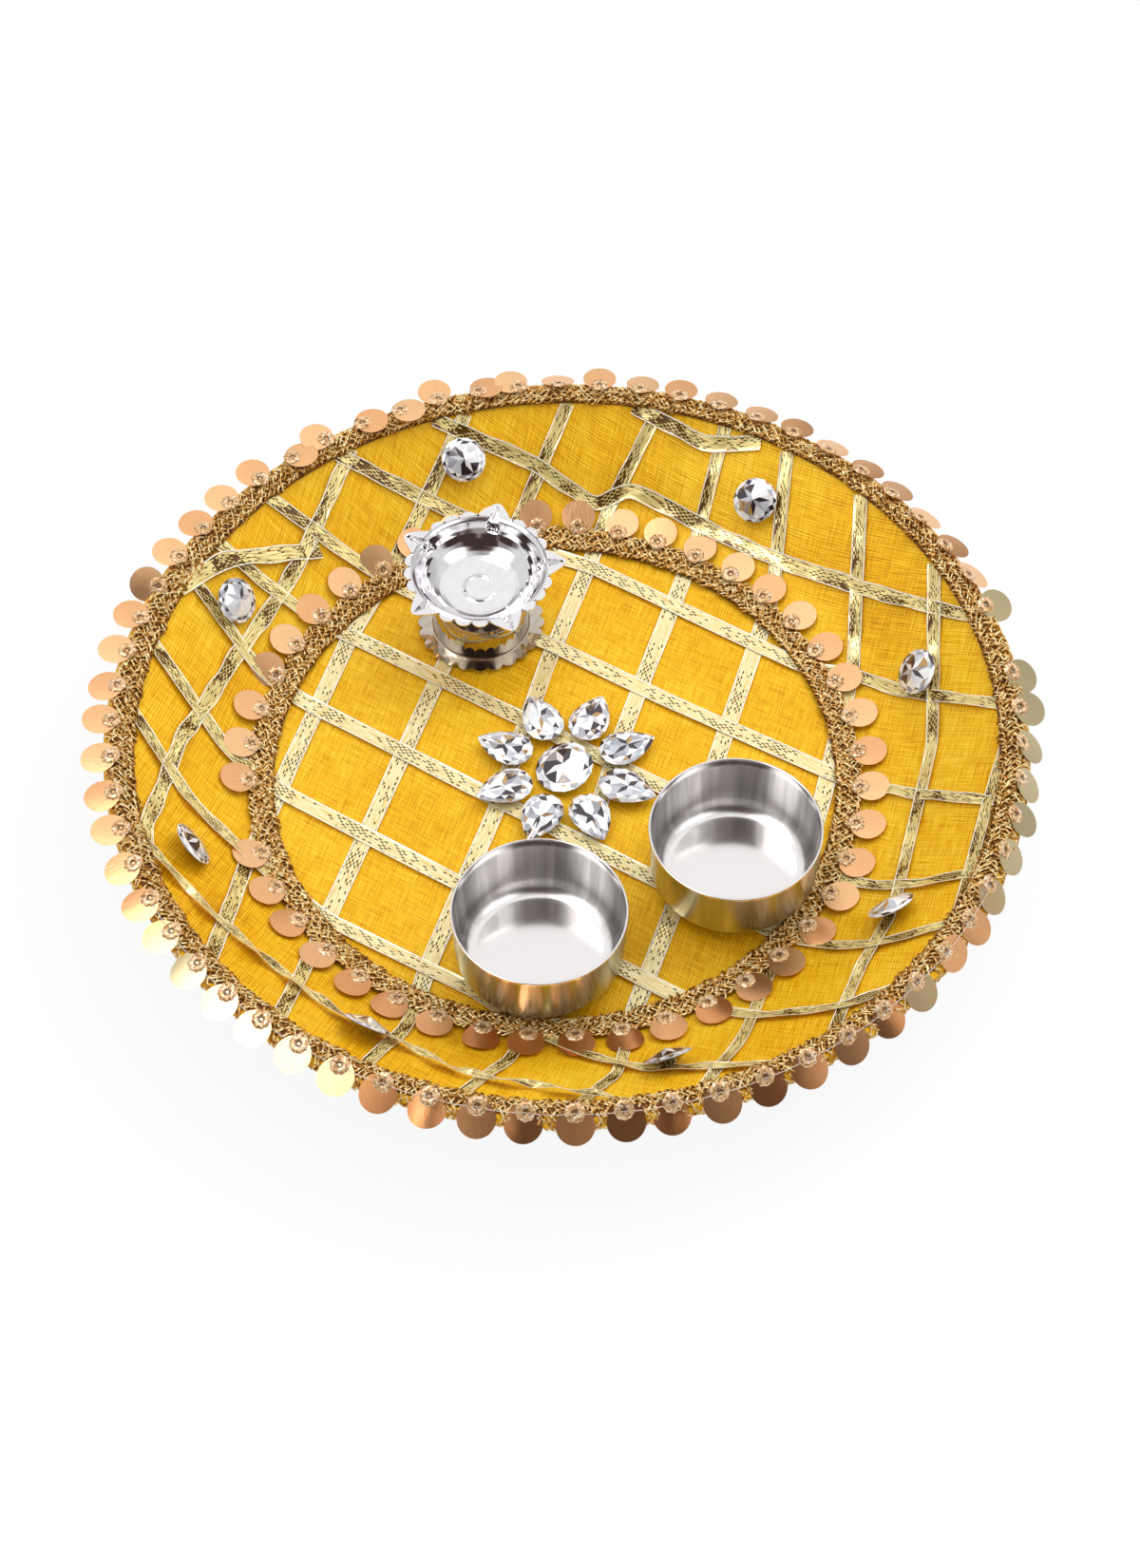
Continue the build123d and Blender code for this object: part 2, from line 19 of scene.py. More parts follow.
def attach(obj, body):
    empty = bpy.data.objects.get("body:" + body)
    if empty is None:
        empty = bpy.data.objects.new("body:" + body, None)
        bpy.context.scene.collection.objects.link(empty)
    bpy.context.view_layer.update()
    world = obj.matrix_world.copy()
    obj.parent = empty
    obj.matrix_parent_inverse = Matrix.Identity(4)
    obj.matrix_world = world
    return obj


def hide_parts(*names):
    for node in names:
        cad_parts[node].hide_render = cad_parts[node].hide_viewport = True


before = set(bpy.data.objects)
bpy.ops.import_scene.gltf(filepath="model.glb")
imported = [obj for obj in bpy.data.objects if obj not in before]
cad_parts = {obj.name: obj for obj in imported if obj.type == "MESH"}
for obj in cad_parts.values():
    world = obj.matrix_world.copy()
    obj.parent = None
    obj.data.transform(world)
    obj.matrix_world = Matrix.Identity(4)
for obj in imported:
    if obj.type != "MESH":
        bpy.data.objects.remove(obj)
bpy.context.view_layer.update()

Array = np.ndarray
Colour = tuple[float, float, float, float]
Stops = tuple[tuple[float, str], ...]
Pair = tuple[float, float]
Triple = tuple[float, float, float]
Route = tuple[Pair, ...]
Socket = bpy.types.NodeSocket
Material = bpy.types.Material

MM = 0.001
TINY = 1e-6
FULL_TURN = 2 * math.pi
GOLDEN_STEP = math.radians(137.5)
UPRIGHT = np.array([0.0, 0.0, 1.0])
CAMERA_ELEVATION = math.radians(53.86)
UV_NAME = "cloth_way"
TONE_NAME = "tone"
WHITE = "FFFFFF"

log = logging.getLogger("thali")


class Body(str, Enum):
    """The rigid bodies that pieces ride on."""

    THALI = "thali"
    LEFT_BOWL = "left_bowl"
    RIGHT_BOWL = "right_bowl"
    DIYA = "diya"


class Slot(str, Enum):
    """The record's material slots."""

    CLOTH = "tissue_cloth"
    RIBBON = "metallic_ribbon"
    BRAID = "gold_braid"
    SEQUIN = "sequin"
    GLITTER = "glitter"
    CRYSTAL = "crystal"
    BOWL = "bowl_steel"
    DIYA = "diya_steel"


def hue(code: str) -> Colour:
    """A display colour as linear light.

    Args:
        code: Six hexadecimal digits of red, green and blue.

    Returns:
        The linear red, green and blue, and full cover.
    """
    shown = np.array([int(code[at : at + 2], 16) for at in (0, 2, 4)]) / 255
    linear = np.where(shown <= 0.04045, shown / 12.92, ((shown + 0.055) / 1.055) ** 2.4)
    return (*linear.tolist(), 1.0)


def eased(value: Array, low: float, high: float) -> Array:
    """A smooth step from 0 at low to 1 at high: the cubic 3t^2 - 2t^3."""
    share = np.clip((value - low) / (high - low), 0, 1)
    return share * share * (3 - 2 * share)


def unit(vectors: Array) -> Array:
    """Vectors scaled to length one along their last axis."""
    return vectors / np.linalg.norm(vectors, axis=-1, keepdims=True)


def lengths(line: Array) -> Array:
    """The length of a line up to each of its points: the running sum of its steps."""
    return np.concatenate([[0.0], np.cumsum(np.linalg.norm(np.diff(line, axis=0), axis=1))])


def ringed(radius: Array, turn: Array, level: Array) -> Array:
    """Points at radii and levels, at turns about the upright axis."""
    parts = np.broadcast_arrays(radius * np.cos(turn), radius * np.sin(turn), level)
    return np.stack(parts, axis=-1)


def spoke(turn: float) -> tuple[Array, Array]:
    """The level direction out from the axis at a turn, and the one square to it."""
    out = np.array([math.cos(turn), math.sin(turn), 0.0])
    return out, np.array([-out[1], out[0], 0.0])


class Surface:
    """A mesh under construction, gathered from grids and facets in millimetres."""

    weld: float = 0.0005
    sliver: float = 0.0002

    def __init__(self) -> None:
        """Starts with no points."""
        self.points: list[Array] = []
        self.uvs: list[Array] = []
        self.tones: list[Array] = []
        self.faces: list[list[int]] = []
        self.slots: list[int] = []
        self.count = 0

    def _add_points(self, points: Array, uv: Array | None, tone: Array | float) -> Array:
        """Adds points and gives back their numbers, in the shape of the points."""
        shape = points.shape[:-1]
        index = np.arange(int(np.prod(shape))).reshape(shape) + self.count
        self.count += index.size
        self.points.append(points.reshape(-1, 3))
        flat_uv = np.zeros(2) if uv is None else uv
        self.uvs.append(np.broadcast_to(flat_uv, (*shape, 2)).reshape(-1, 2))
        self.tones.append(np.broadcast_to(tone, shape).reshape(-1))
        return index

    def _add_faces(self, corners: Array, slot: int) -> None:
        """Adds faces by their corners' numbers, all of one finish."""
        self.faces.extend(corners.tolist())
        self.slots.extend([slot] * len(corners))

    def grid(
        self, points: Array, uv: Array | None = None, tone: Array | float = 0.0, slot: int = 0
    ) -> "Surface":
        """Adds grids of quads whose normal is the row step crossed with the column step.

        Args:
            points: Points of shape (..., rows, columns, 3); the leading axes are separate grids.
            uv: Pattern coordinates that fit (..., rows, columns, 2).
            tone: A value that the finish can read, which fits (..., rows, columns).
            slot: The number of the finish.

        Returns:
            The surface itself.
        """
        index = self._add_points(points, uv, tone)
        corners = [index[..., :-1, :-1], index[..., 1:, :-1], index[..., 1:, 1:], index[..., :-1, 1:]]
        self._add_faces(np.stack(corners, axis=-1).reshape(-1, 4), slot)
        return self

    def facets(self, points: Array, triangles: Array, shade: Array | float = 0.0, slot: int = 0) -> None:
        """Adds flat triangles, each with its own shade as its first pattern coordinate.

        Args:
            points: Points of shape (n, 3).
            triangles: Point numbers of shape (m, 3).
            shade: A value for each triangle that the finish can read.
            slot: The number of the finish.
        """
        shades = np.broadcast_to(shade, len(triangles))[:, None, None]
        uv = np.broadcast_to(shades * np.array([1.0, 0.0]), (*triangles.shape, 2))
        self._add_faces(self._add_points(points[triangles], uv, 0.0), slot)

    def piece(
        self,
        name: str,
        body: Body,
        slot: Slot,
        finishes: list[Material],
        nodes: tuple[str, ...] = (),
        crease: float | None = math.radians(38),
        thickness: float = 0.0,
    ) -> bpy.types.Object:
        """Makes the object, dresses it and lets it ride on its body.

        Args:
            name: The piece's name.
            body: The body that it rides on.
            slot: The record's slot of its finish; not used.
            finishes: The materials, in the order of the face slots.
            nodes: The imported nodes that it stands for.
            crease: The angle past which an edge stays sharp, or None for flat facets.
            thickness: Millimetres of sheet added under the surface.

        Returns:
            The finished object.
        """
        made = self.object(name, finishes, crease)
        if thickness:
            sheet = made.modifiers.new("sheet", "SOLIDIFY")
            sheet.thickness = thickness * MM
            sheet.offset = -1
        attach(made, body.value)
        if nodes:
            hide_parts(*nodes)
        log.info("%s: %d faces on %s", name, len(made.data.polygons), body.value)
        return made

    def object(self, name: str, finishes: list[Material], crease: float | None) -> bpy.types.Object:
        """Makes the object with its seams and poles welded and its open edges sharp.

        Args:
            name: The object's name.
            finishes: The materials, in the order of the face slots.
            crease: The angle past which an edge stays sharp, or None for flat facets.

        Returns:
            The object.
        """
        mesh = bpy.data.meshes.new(name)
        mesh.from_pydata((np.concatenate(self.points) * MM).tolist(), [], self.faces)
        mesh.polygons.foreach_set("material_index", np.array(self.slots, np.int32))
        corner = np.zeros(len(mesh.loops), np.int32)
        mesh.loops.foreach_get("vertex_index", corner)
        layer = mesh.uv_layers.new(name=UV_NAME)
        layer.data.foreach_set("uv", np.concatenate(self.uvs)[corner].astype(np.float32).ravel())
        tone = mesh.attributes.new(TONE_NAME, "FLOAT", "POINT")
        tone.data.foreach_set("value", np.concatenate(self.tones).astype(np.float32))
        work = bmesh.new()
        work.from_mesh(mesh)
        bmesh.ops.remove_doubles(work, verts=work.verts, dist=self.weld * MM)
        bmesh.ops.dissolve_degenerate(work, edges=work.edges, dist=self.sliver * MM)
        work.to_mesh(mesh)
        work.free()
        mesh.polygons.foreach_set("use_smooth", np.full(len(mesh.polygons), crease is not None))
        if crease is not None:
            mesh.set_sharp_from_angle(angle=crease)
            side = np.zeros(len(mesh.loops), np.int32)
            mesh.loops.foreach_get("edge_index", side)
            sharp = np.zeros(len(mesh.edges), bool)
            mesh.edges.foreach_get("use_edge_sharp", sharp)
            sharp |= np.bincount(side, minlength=len(sharp)) == 1
            mesh.edges.foreach_set("use_edge_sharp", sharp)
        for finish in finishes:
            mesh.materials.append(finish)
        made = bpy.data.objects.new(name, mesh)
        bpy.context.scene.collection.objects.link(made)
        return made


def tubes(centres: Array, up: Array, radius: float, sides: int) -> Array:
    """Round tubes about lines: ring point = centre + radius (cos a * up + sin a * side).

    Args:
        centres: Lines of shape (..., n, 3).
        up: A direction for each point, square to the line or nearly so.
        radius: The tubes' radius.
        sides: The number of sides.

    Returns:
        Points of shape (..., n, sides + 1, 3), closed around.
    """
    along = unit(np.gradient(centres, axis=-2))
    side = unit(np.cross(up, along))
    square = np.cross(along, side)
    turn = np.linspace(0, FULL_TURN, sides + 1)[:, None]
    ring = np.cos(turn) * square[..., None, :] + np.sin(turn) * side[..., None, :]
    return centres[..., None, :] + radius * ring


def lathe(profile: Array, columns: int) -> Array:
    """A profile of radius and height carried round the upright axis, the last column on the first."""
    return ringed(profile[:, :1], np.linspace(0, FULL_TURN, columns), profile[:, 1:])


def rounded(corners: list[Triple], steps: int) -> Array:
    """A line of corners in which each corner is an arc of its own radius, tangent to both runs.

    Args:
        corners: Radius, height and rounding of each corner.
        steps: The number of points on each arc.

    Returns:
        Points of shape (n, 2).
    """
    spots = np.array(corners)[:, :2]
    share = np.linspace(0, 1, steps)[:, None]
    line = [spots[:1]]
    for at in range(1, len(corners) - 1):
        rounding = corners[at][2]
        back, ahead = unit(spots[at - 1] - spots[at]), unit(spots[at + 1] - spots[at])
        half = math.acos(float(np.clip(back @ ahead, -1, 1))) / 2
        centre = spots[at] + unit(back + ahead) * rounding / math.sin(half)
        start = spots[at] + back * rounding / math.tan(half) - centre
        end = spots[at] + ahead * rounding / math.tan(half) - centre
        sweep = math.pi - 2 * half
        arc = (np.sin((1 - share) * sweep) * start + np.sin(share * sweep) * end) / math.sin(sweep)
        line.append(centre + arc)
    line.append(spots[-1:])
    return np.concatenate(line)


def refined(line: Array, step: float) -> Array:
    """A line with points added evenly along its long runs, so that no run is longer than a step."""
    runs = np.linalg.norm(np.diff(line, axis=0), axis=1)
    keep = lengths(line)
    counts = np.maximum(1, np.ceil(runs / step)).astype(int)
    parts = [np.linspace(start, start + run, count, False) for start, run, count in zip(keep, runs, counts)]
    along = np.concatenate([*parts, keep[-1:]])
    return np.stack([np.interp(along, keep, line[:, axis]) for axis in (0, 1)], axis=-1)


class Nodes:
    """A node tree under construction."""

    def __init__(self, tree: bpy.types.NodeTree) -> None:
        """Takes the tree that gets the nodes."""
        self.tree = tree

    def feed(self, socket: Socket, value: Socket | Colour | Triple | float | str) -> None:
        """Links a socket to another, or sets its plain value; a text is a display colour."""
        if isinstance(value, bpy.types.NodeSocket):
            self.tree.links.new(value, socket)
        else:
            socket.default_value = hue(value) if isinstance(value, str) else value

    def node(self, kind: str, feeds: dict | None = None, **settings: object) -> bpy.types.Node:
        """Adds a node.

        Args:
            kind: The node's kind, without its ShaderNode prefix.
            feeds: What each input takes, by name or number.
            settings: The node's own settings.

        Returns:
            The node.
        """
        made = self.tree.nodes.new("ShaderNode" + kind)
        for label, value in settings.items():
            setattr(made, label, value)
        for key, value in (feeds or {}).items():
            self.feed(made.inputs[key], value)
        return made

    def math(self, operation: str, *values: Socket | float) -> Socket:
        """One sum on one, two or three values."""
        return self.node("Math", dict(enumerate(values)), operation=operation).outputs[0]

    def scaled(self, value: Socket, share: float, start: Socket | float) -> Socket:
        """A share of a value, added to a start."""
        return self.math("MULTIPLY_ADD", value, share, start)

    def centred(self, value: Socket, share: float) -> Socket:
        """A share of how far a value from 0 to 1 lies off its middle."""
        return self.scaled(value, share, -share / 2)

    def mix(self, share: Socket, low: Socket | str, high: Socket | str) -> Socket:
        """A colour between two, by a share."""
        return self.node("Mix", {0: share, 6: low, 7: high}, data_type="RGBA").outputs[2]

    def ramp(self, share: Socket, stops: Stops) -> Socket:
        """A colour picked from stops by a share.

        Args:
            share: The value that picks.
            stops: Places from 0 to 1, each with its display colour.

        Returns:
            The colour.
        """
        made = self.node("ValToRGB", {0: share})
        line = made.color_ramp.elements
        while len(line) < len(stops):
            line.new(0.5)
        for stop, (place, code) in zip(line, stops):
            stop.position = place
            stop.color = hue(code)
        return made.outputs[0]

    def place(self) -> Socket:
        """The point's place in the object's own frame, in metres."""
        return self.node("TexCoord").outputs["Object"]

    def way(self) -> Socket:
        """The piece's own pattern coordinates."""
        return self.node("UVMap", uv_map=UV_NAME).outputs[0]

    def axis(self, vector: Socket, number: int) -> Socket:
        """One coordinate of a vector."""
        return self.node("SeparateXYZ", {0: vector}).outputs[number]

    def tone(self) -> Socket:
        """The value stored on the piece's points."""
        return self.node("Attribute", attribute_name=TONE_NAME).outputs["Fac"]

    def turned(self, vector: Socket, size: Triple, angle: float = 0.0) -> Socket:
        """Coordinates counted in cells of a size, along axes turned about Z by an angle."""
        feeds = {"Vector": vector, "Rotation": (0, 0, angle), "Scale": size}
        return self.node("Mapping", feeds, vector_type="TEXTURE").outputs[0]

    def noise(self, vector: Socket, detail: float = 2.0) -> Socket:
        """Smooth noise from about 0 to 1, in cells of one unit."""
        return self.node("TexNoise", {"Vector": vector, "Scale": 1.0, "Detail": detail}).outputs[0]

    def grain(self, size: float, detail: float = 2.0) -> Socket:
        """Smooth noise in the object's frame, in cells of a size in millimetres."""
        return self.noise(self.turned(self.place(), (size * MM,) * 3), detail)

    def spread(self, value: Socket, low: float, high: float) -> Socket:
        """A value stretched so that low gives 0 and high gives 1, and held there."""
        feeds = {"Value": value, "From Min": low, "From Max": high}
        return self.node("MapRange", feeds, interpolation_type="SMOOTHSTEP").outputs[0]


class Shader(Nodes):
    """A node material under construction around one principled surface."""

    def __init__(self, name: str, **values: float | Colour | str) -> None:
        """Makes the material.

        Args:
            name: The finish's name.
            values: Plain values for the surface's own sockets, with _ for a blank.
        """
        self.material = bpy.data.materials.new(name)
        self.material.use_nodes = True
        super().__init__(self.material.node_tree)
        self.surface = self.tree.nodes["Principled BSDF"]
        for label, value in values.items():
            self.drive(label.replace("_", " "), value)

    def drive(self, label: str, value: Socket | Colour | float | str) -> None:
        """Feeds a socket of the surface."""
        self.feed(self.surface.inputs[label], value)

    def paint(self, share: Socket, stops: Stops) -> None:
        """Picks the surface's colour from stops by a share."""
        self.drive("Base Color", self.ramp(share, stops))

    def roughen(self, value: Socket, share: float, least: float) -> None:
        """Makes the surface rough by a share of a pattern over a least value."""
        self.drive("Roughness", self.scaled(value, share, least))

    def bump(self, height: Socket, depth: float, strength: float = 1.0) -> None:
        """Tilts the surface by a height pattern that is a depth of millimetres tall."""
        feeds = {"Height": height, "Distance": depth * MM, "Strength": strength}
        self.drive("Normal", self.node("Bump", feeds).outputs[0])


@dataclass(frozen=True)
class TissueCloth:
    """Golden tissue cloth: two sets of uneven threads that shimmer."""

    shades: Stops = ((0.3, "CB8600"), (0.5, "F4B70A"), (0.72, "FFDD48"))
    metal: float = 0.2
    gloss: float = 0.25
    roughness: float = 0.3
    thread_roughness: float = 0.3
    thread_pitch: float = 0.5
    thread_length: float = 9.0
    thread_ways: Pair = (math.radians(-30), math.radians(73))
    weave_pitch: float = 0.8
    weave_share: float = 0.11
    cloud_size: float = 35.0
    cloud_share: float = 0.3
    bump: Pair = (0.3, 0.8)

    def make(self) -> Material:
        """The material: uneven threads over a regular weave give colour, bump and roughness."""
        shader = Shader("golden_tissue", Metallic=self.metal, Specular_IOR_Level=self.gloss)
        both = shader.math("ADD", *[self.threads(shader, way) for way in self.thread_ways])
        threads = shader.math("MULTIPLY", both, 0.5)
        cloud = shader.centred(shader.grain(self.cloud_size, detail=3), self.cloud_share)
        shader.paint(shader.math("ADD", threads, cloud), self.shades)
        shader.roughen(threads, self.thread_roughness, self.roughness)
        shader.bump(threads, *self.bump)
        return shader.material

    def threads(self, shader: Shader, way: float) -> Socket:
        """One set of threads: a sine across the threads plus noise stretched along them.

        Args:
            shader: The material that takes the nodes.
            way: The threads' direction in plan.

        Returns:
            A height from about 0 to 1.
        """
        cell = (self.thread_length * MM, self.thread_pitch * MM, 1.0)
        uneven = shader.noise(shader.turned(shader.place(), cell, way))
        across = shader.axis(shader.turned(shader.place(), (1.0, self.weave_pitch * MM, 1.0), way), 1)
        wave = shader.math("SINE", shader.math("MULTIPLY", across, FULL_TURN))
        return shader.scaled(wave, self.weave_share, uneven)


@dataclass(frozen=True)
class FilmRibbon:
    """Woven metallic ribbon: rows of staggered dashes, in bright stretches and painted dark reflections, with
    pale selvedges.
    """

    base_film: Stops = ((0.32, "E6BC50"), (0.54, "FFF4C0"))
    # Painted reflection: on the wall the film is a deeper gold.
    painted_wall_film: Stops = ((0.36, "A26A00"), (0.54, "FFF0A4"))
    dash: str = "301C04"
    # Painted shade: the ground colour of the dark reflected stretches.
    shadow: str = "5E3E06"
    selvedge: str = "FFFBEC"
    roughness: float = 0.18
    metal: float = 0.3
    selvedge_metal: float = -0.2
    half_width: float = 2.65
    edge_share: float = 0.87
    row_pitch: float = 0.66
    cell_length: float = 2.1
    dash_share: float = 0.56
    dash_half_row: float = 0.3
    patch_size: Triple = (15.0, 12.0, 1.0)
    fibre_size: Triple = (6.0, 0.3, 1.0)
    # Where the painted reflections go: the wall range, and the back range and limits that set the dark
    # stretches, more of them at the back.
    wall: Pair = (0.2, 0.5)
    back: Pair = (0.055, 0.1)
    dark_reflection_limit: float = 0.57
    back_limit: float = -0.04
    sewn_start: float = -0.8
    sewn_share: float = 2.4
    wall_sewn: float = 0.12
    tilt_bump: Pair = (0.16, 0.8)

    def make(self) -> Material:
        """The material: u runs along the ribbon and v across it, both in millimetres.

        Dashes are dark on bright film. Where a stretch on the wall is painted as a dark reflection of the
        room, mostly at the back of the plate, the ground takes the shadow colour and the dashes turn bright.
        On the wall the film is a deeper gold, a painted reflection.
        """
        shader = Shader("film_ribbon", Roughness=self.roughness)
        along, across = shader.axis(shader.way(), 0), shader.axis(shader.way(), 1)
        wall = shader.spread(shader.tone(), *self.wall)
        rows = shader.math("DIVIDE", across, self.row_pitch)
        row = shader.math("FLOOR", rows)
        count = shader.scaled(row, 0.5, shader.math("DIVIDE", along, self.cell_length))
        cell = shader.node("CombineXYZ", {0: row, 1: shader.math("FLOOR", count)}).outputs[0]
        pick = shader.node("TexWhiteNoise", {"Vector": cell}, noise_dimensions="2D").outputs["Value"]
        off_middle = shader.math("ABSOLUTE", shader.math("SUBTRACT", shader.math("FRACT", rows), 0.5))
        in_row = shader.math("LESS_THAN", off_middle, self.dash_half_row)
        in_length = shader.math("LESS_THAN", shader.math("FRACT", count), self.dash_share)
        patch = shader.noise(shader.turned(shader.way(), self.patch_size), detail=1)
        # Painted dark reflection: on the wall, patches of ribbon take the shadow ground and bright dashes,
        # more of them at the back of the plate.
        back = shader.spread(shader.axis(shader.place(), 1), *self.back)
        limit = shader.scaled(back, self.back_limit, self.dark_reflection_limit)
        stretch = shader.math("MULTIPLY", shader.math("GREATER_THAN", patch, limit), wall)
        often = shader.scaled(patch, self.sewn_share, self.sewn_start)
        sewn = shader.math("LESS_THAN", pick, shader.scaled(shader.tone(), self.wall_sewn, often))
        dashes = shader.math("MULTIPLY", shader.math("MULTIPLY", in_length, in_row), sewn)
        fibre = shader.noise(shader.turned(shader.way(), self.fibre_size))
        # Painted reflection: the film on the wall is picked from the deeper gold.
        film = shader.mix(wall, shader.ramp(fibre, self.base_film), shader.ramp(fibre, self.painted_wall_film))
        ground = shader.mix(stretch, film, self.shadow)
        woven = shader.mix(dashes, ground, shader.mix(stretch, self.dash, film))
        edge = shader.math("ABSOLUTE", across)
        edge = shader.math("GREATER_THAN", edge, self.half_width * self.edge_share)
        shader.drive("Base Color", shader.mix(edge, woven, self.selvedge))
        shader.drive("Metallic", shader.scaled(edge, self.selvedge_metal, self.metal))
        lean = shader.math("MULTIPLY", shader.math("FRACT", count), shader.math("SUBTRACT", pick, 0.5))
        shader.bump(lean, *self.tilt_bump)
        return shader.material


@dataclass(frozen=True)
class BraidYarn:
    """Metallic yarn of the braids: gold that breaks into brown, with painted highlight and shade on the
    plies, on a dark ground band that is partly painted shade.
    """

    shades: Stops = ((0.36, "7E4C10"), (0.5, "DC9E38"), (0.66, "FFEBB4"))
    # Dark ground shades, partly painted shade in the gaps between the stitches.
    ground_and_gap_shades: Stops = ((0.3, "3A2004"), (0.75, "855218"))
    metal: float = 0.45
    roughness: float = 0.24
    ground_roughness: float = 0.8
    film_length: float = 1.1
    ground_grain: float = 0.6
    tone_share: float = 0.24
    bump: Pair = (0.4, 0.9)
    ground_depth: float = 0.3

    def make(self) -> Material:
        """The material: short noise breaks the yarn into bright and dark film, and each point's tone adds its
        painted highlight and shade.
        """
        shader = Shader("braid_yarn", Metallic=self.metal, Roughness=self.roughness)
        film = shader.grain(self.film_length)
        shader.paint(shader.math("ADD", film, shader.centred(shader.tone(), self.tone_share)), self.shades)
        shader.bump(film, *self.bump)
        return shader.material

    def ground(self) -> Material:
        """The dark ground band that shows between the stitches; its darkness is partly painted shade in the
        gaps.
        """
        shader = Shader("braid_ground", Roughness=self.ground_roughness)
        grain = shader.grain(self.ground_grain)
        shader.paint(grain, self.ground_and_gap_shades)
        shader.bump(grain, self.ground_depth)
        return shader.material


@dataclass(frozen=True)
class SequinFilm:
    """Satin peach film with fine pressed lines; its copper and khaki shades are painted reflections."""

    # Painted reflections: the copper and khaki stops stand in for darker parts of the room mirrored in the
    # discs.
    shades: Stops = ((0.1, "FCCD98"), (0.6, "E69A60"), (0.75, "C6B68E"))
    metal: float = 0.95
    roughness: float = 0.28
    tone_share: float = 0.75
    smear_share: float = 0.25
    smear_size: Triple = (3.0, 0.5, 1.0)
    line_pitch: float = 0.45
    line_share: float = 0.25
    bump: Pair = (0.05, 0.6)

    def make(self) -> Material:
        """The material: each disc has its own tone, which picks a painted reflection from pale peach through
        copper to khaki, and lines cross it.
        """
        shader = Shader("sequin_film", Metallic=self.metal, Roughness=self.roughness)
        count = shader.math("MULTIPLY", shader.axis(shader.way(), 1), FULL_TURN / self.line_pitch)
        smear = shader.noise(shader.turned(shader.way(), self.smear_size))
        tone = shader.math("MULTIPLY", shader.tone(), self.tone_share)
        shader.paint(shader.scaled(smear, self.smear_share, tone), self.shades)
        lines = shader.scaled(shader.math("SINE", count), self.line_share, smear)
        shader.bump(lines, *self.bump)
        return shader.material


@dataclass(frozen=True)
class GlitterRing:
    """Gold glitter: small flakes that each face another way, on a warm clear ground."""

    shades: Stops = ((0.0, "8A5A2C"), (0.35, "DBA86E"), (0.7, "F0C894"), (1.0, "FFF2DE"))
    middle: str = "4A2C12"
    metal: float = 0.3
    roughness: float = 0.35
    flake: float = 0.5
    bump: Pair = (0.2, 0.7)

    def make(self) -> Material:
        """The material: cells pick the flake's colour, and the tone darkens the middle."""
        shader = Shader("gold_glitter", Metallic=self.metal, Roughness=self.roughness)
        cells = shader.turned(shader.place(), (self.flake * MM,) * 3)
        flakes = shader.node("TexVoronoi", {"Vector": cells, "Scale": 1.0})
        pick = shader.node("SeparateColor", {0: flakes.outputs["Color"]}).outputs[0]
        shader.drive("Base Color", shader.mix(shader.tone(), self.middle, shader.ramp(pick, self.shades)))
        shader.bump(pick, *self.bump)
        return shader.material


@dataclass(frozen=True)
class FoiledCrystal:
    """Cut glass over silver foil: every facet is painted with its own shade of reflection, and the glass
    shines over it.
    """

    # Painted reflections: plum, amber, greys and white stand in for what each facet mirrors.
    shades: Stops = (
        (0.15, "35272F"), (0.19, "C99A4A"), (0.23, "9A9BA6"), (0.46, "CFD2DB"), (0.68, WHITE),
    )
    metal: float = 0.2
    roughness: float = 0.06
    coat_roughness: float = 0.02
    grain_size: float = 1.4
    grain_share: float = 0.12
    foil_shades: Stops = ((0.3, "B4B2B8"), (0.7, "D8D6DA"))
    foil_roughness: float = 0.06
    foil_grain_size: float = 2.0
    foil_grain_share: float = 0.08

    def facets(self) -> Material:
        """The facets in front: the pattern's first coordinate picks the facet's painted reflection, from plum
        to white.
        """
        coat = {"Coat_Weight": 1.0, "Coat_Roughness": self.coat_roughness}
        shader = Shader("painted_reflection_facets", Metallic=self.metal, Roughness=self.roughness, **coat)
        grain = shader.centred(shader.grain(self.grain_size, detail=1), self.grain_share)
        shader.paint(shader.math("ADD", shader.axis(shader.way(), 0), grain), self.shades)
        return shader.material

    def foil(self) -> Material:
        """The bright foil on the back."""
        shader = Shader("silver_foil", Metallic=1.0)
        grain = shader.grain(self.foil_grain_size)
        shader.paint(grain, self.foil_shades)
        shader.roughen(grain, self.foil_grain_share, self.foil_roughness)
        return shader.material


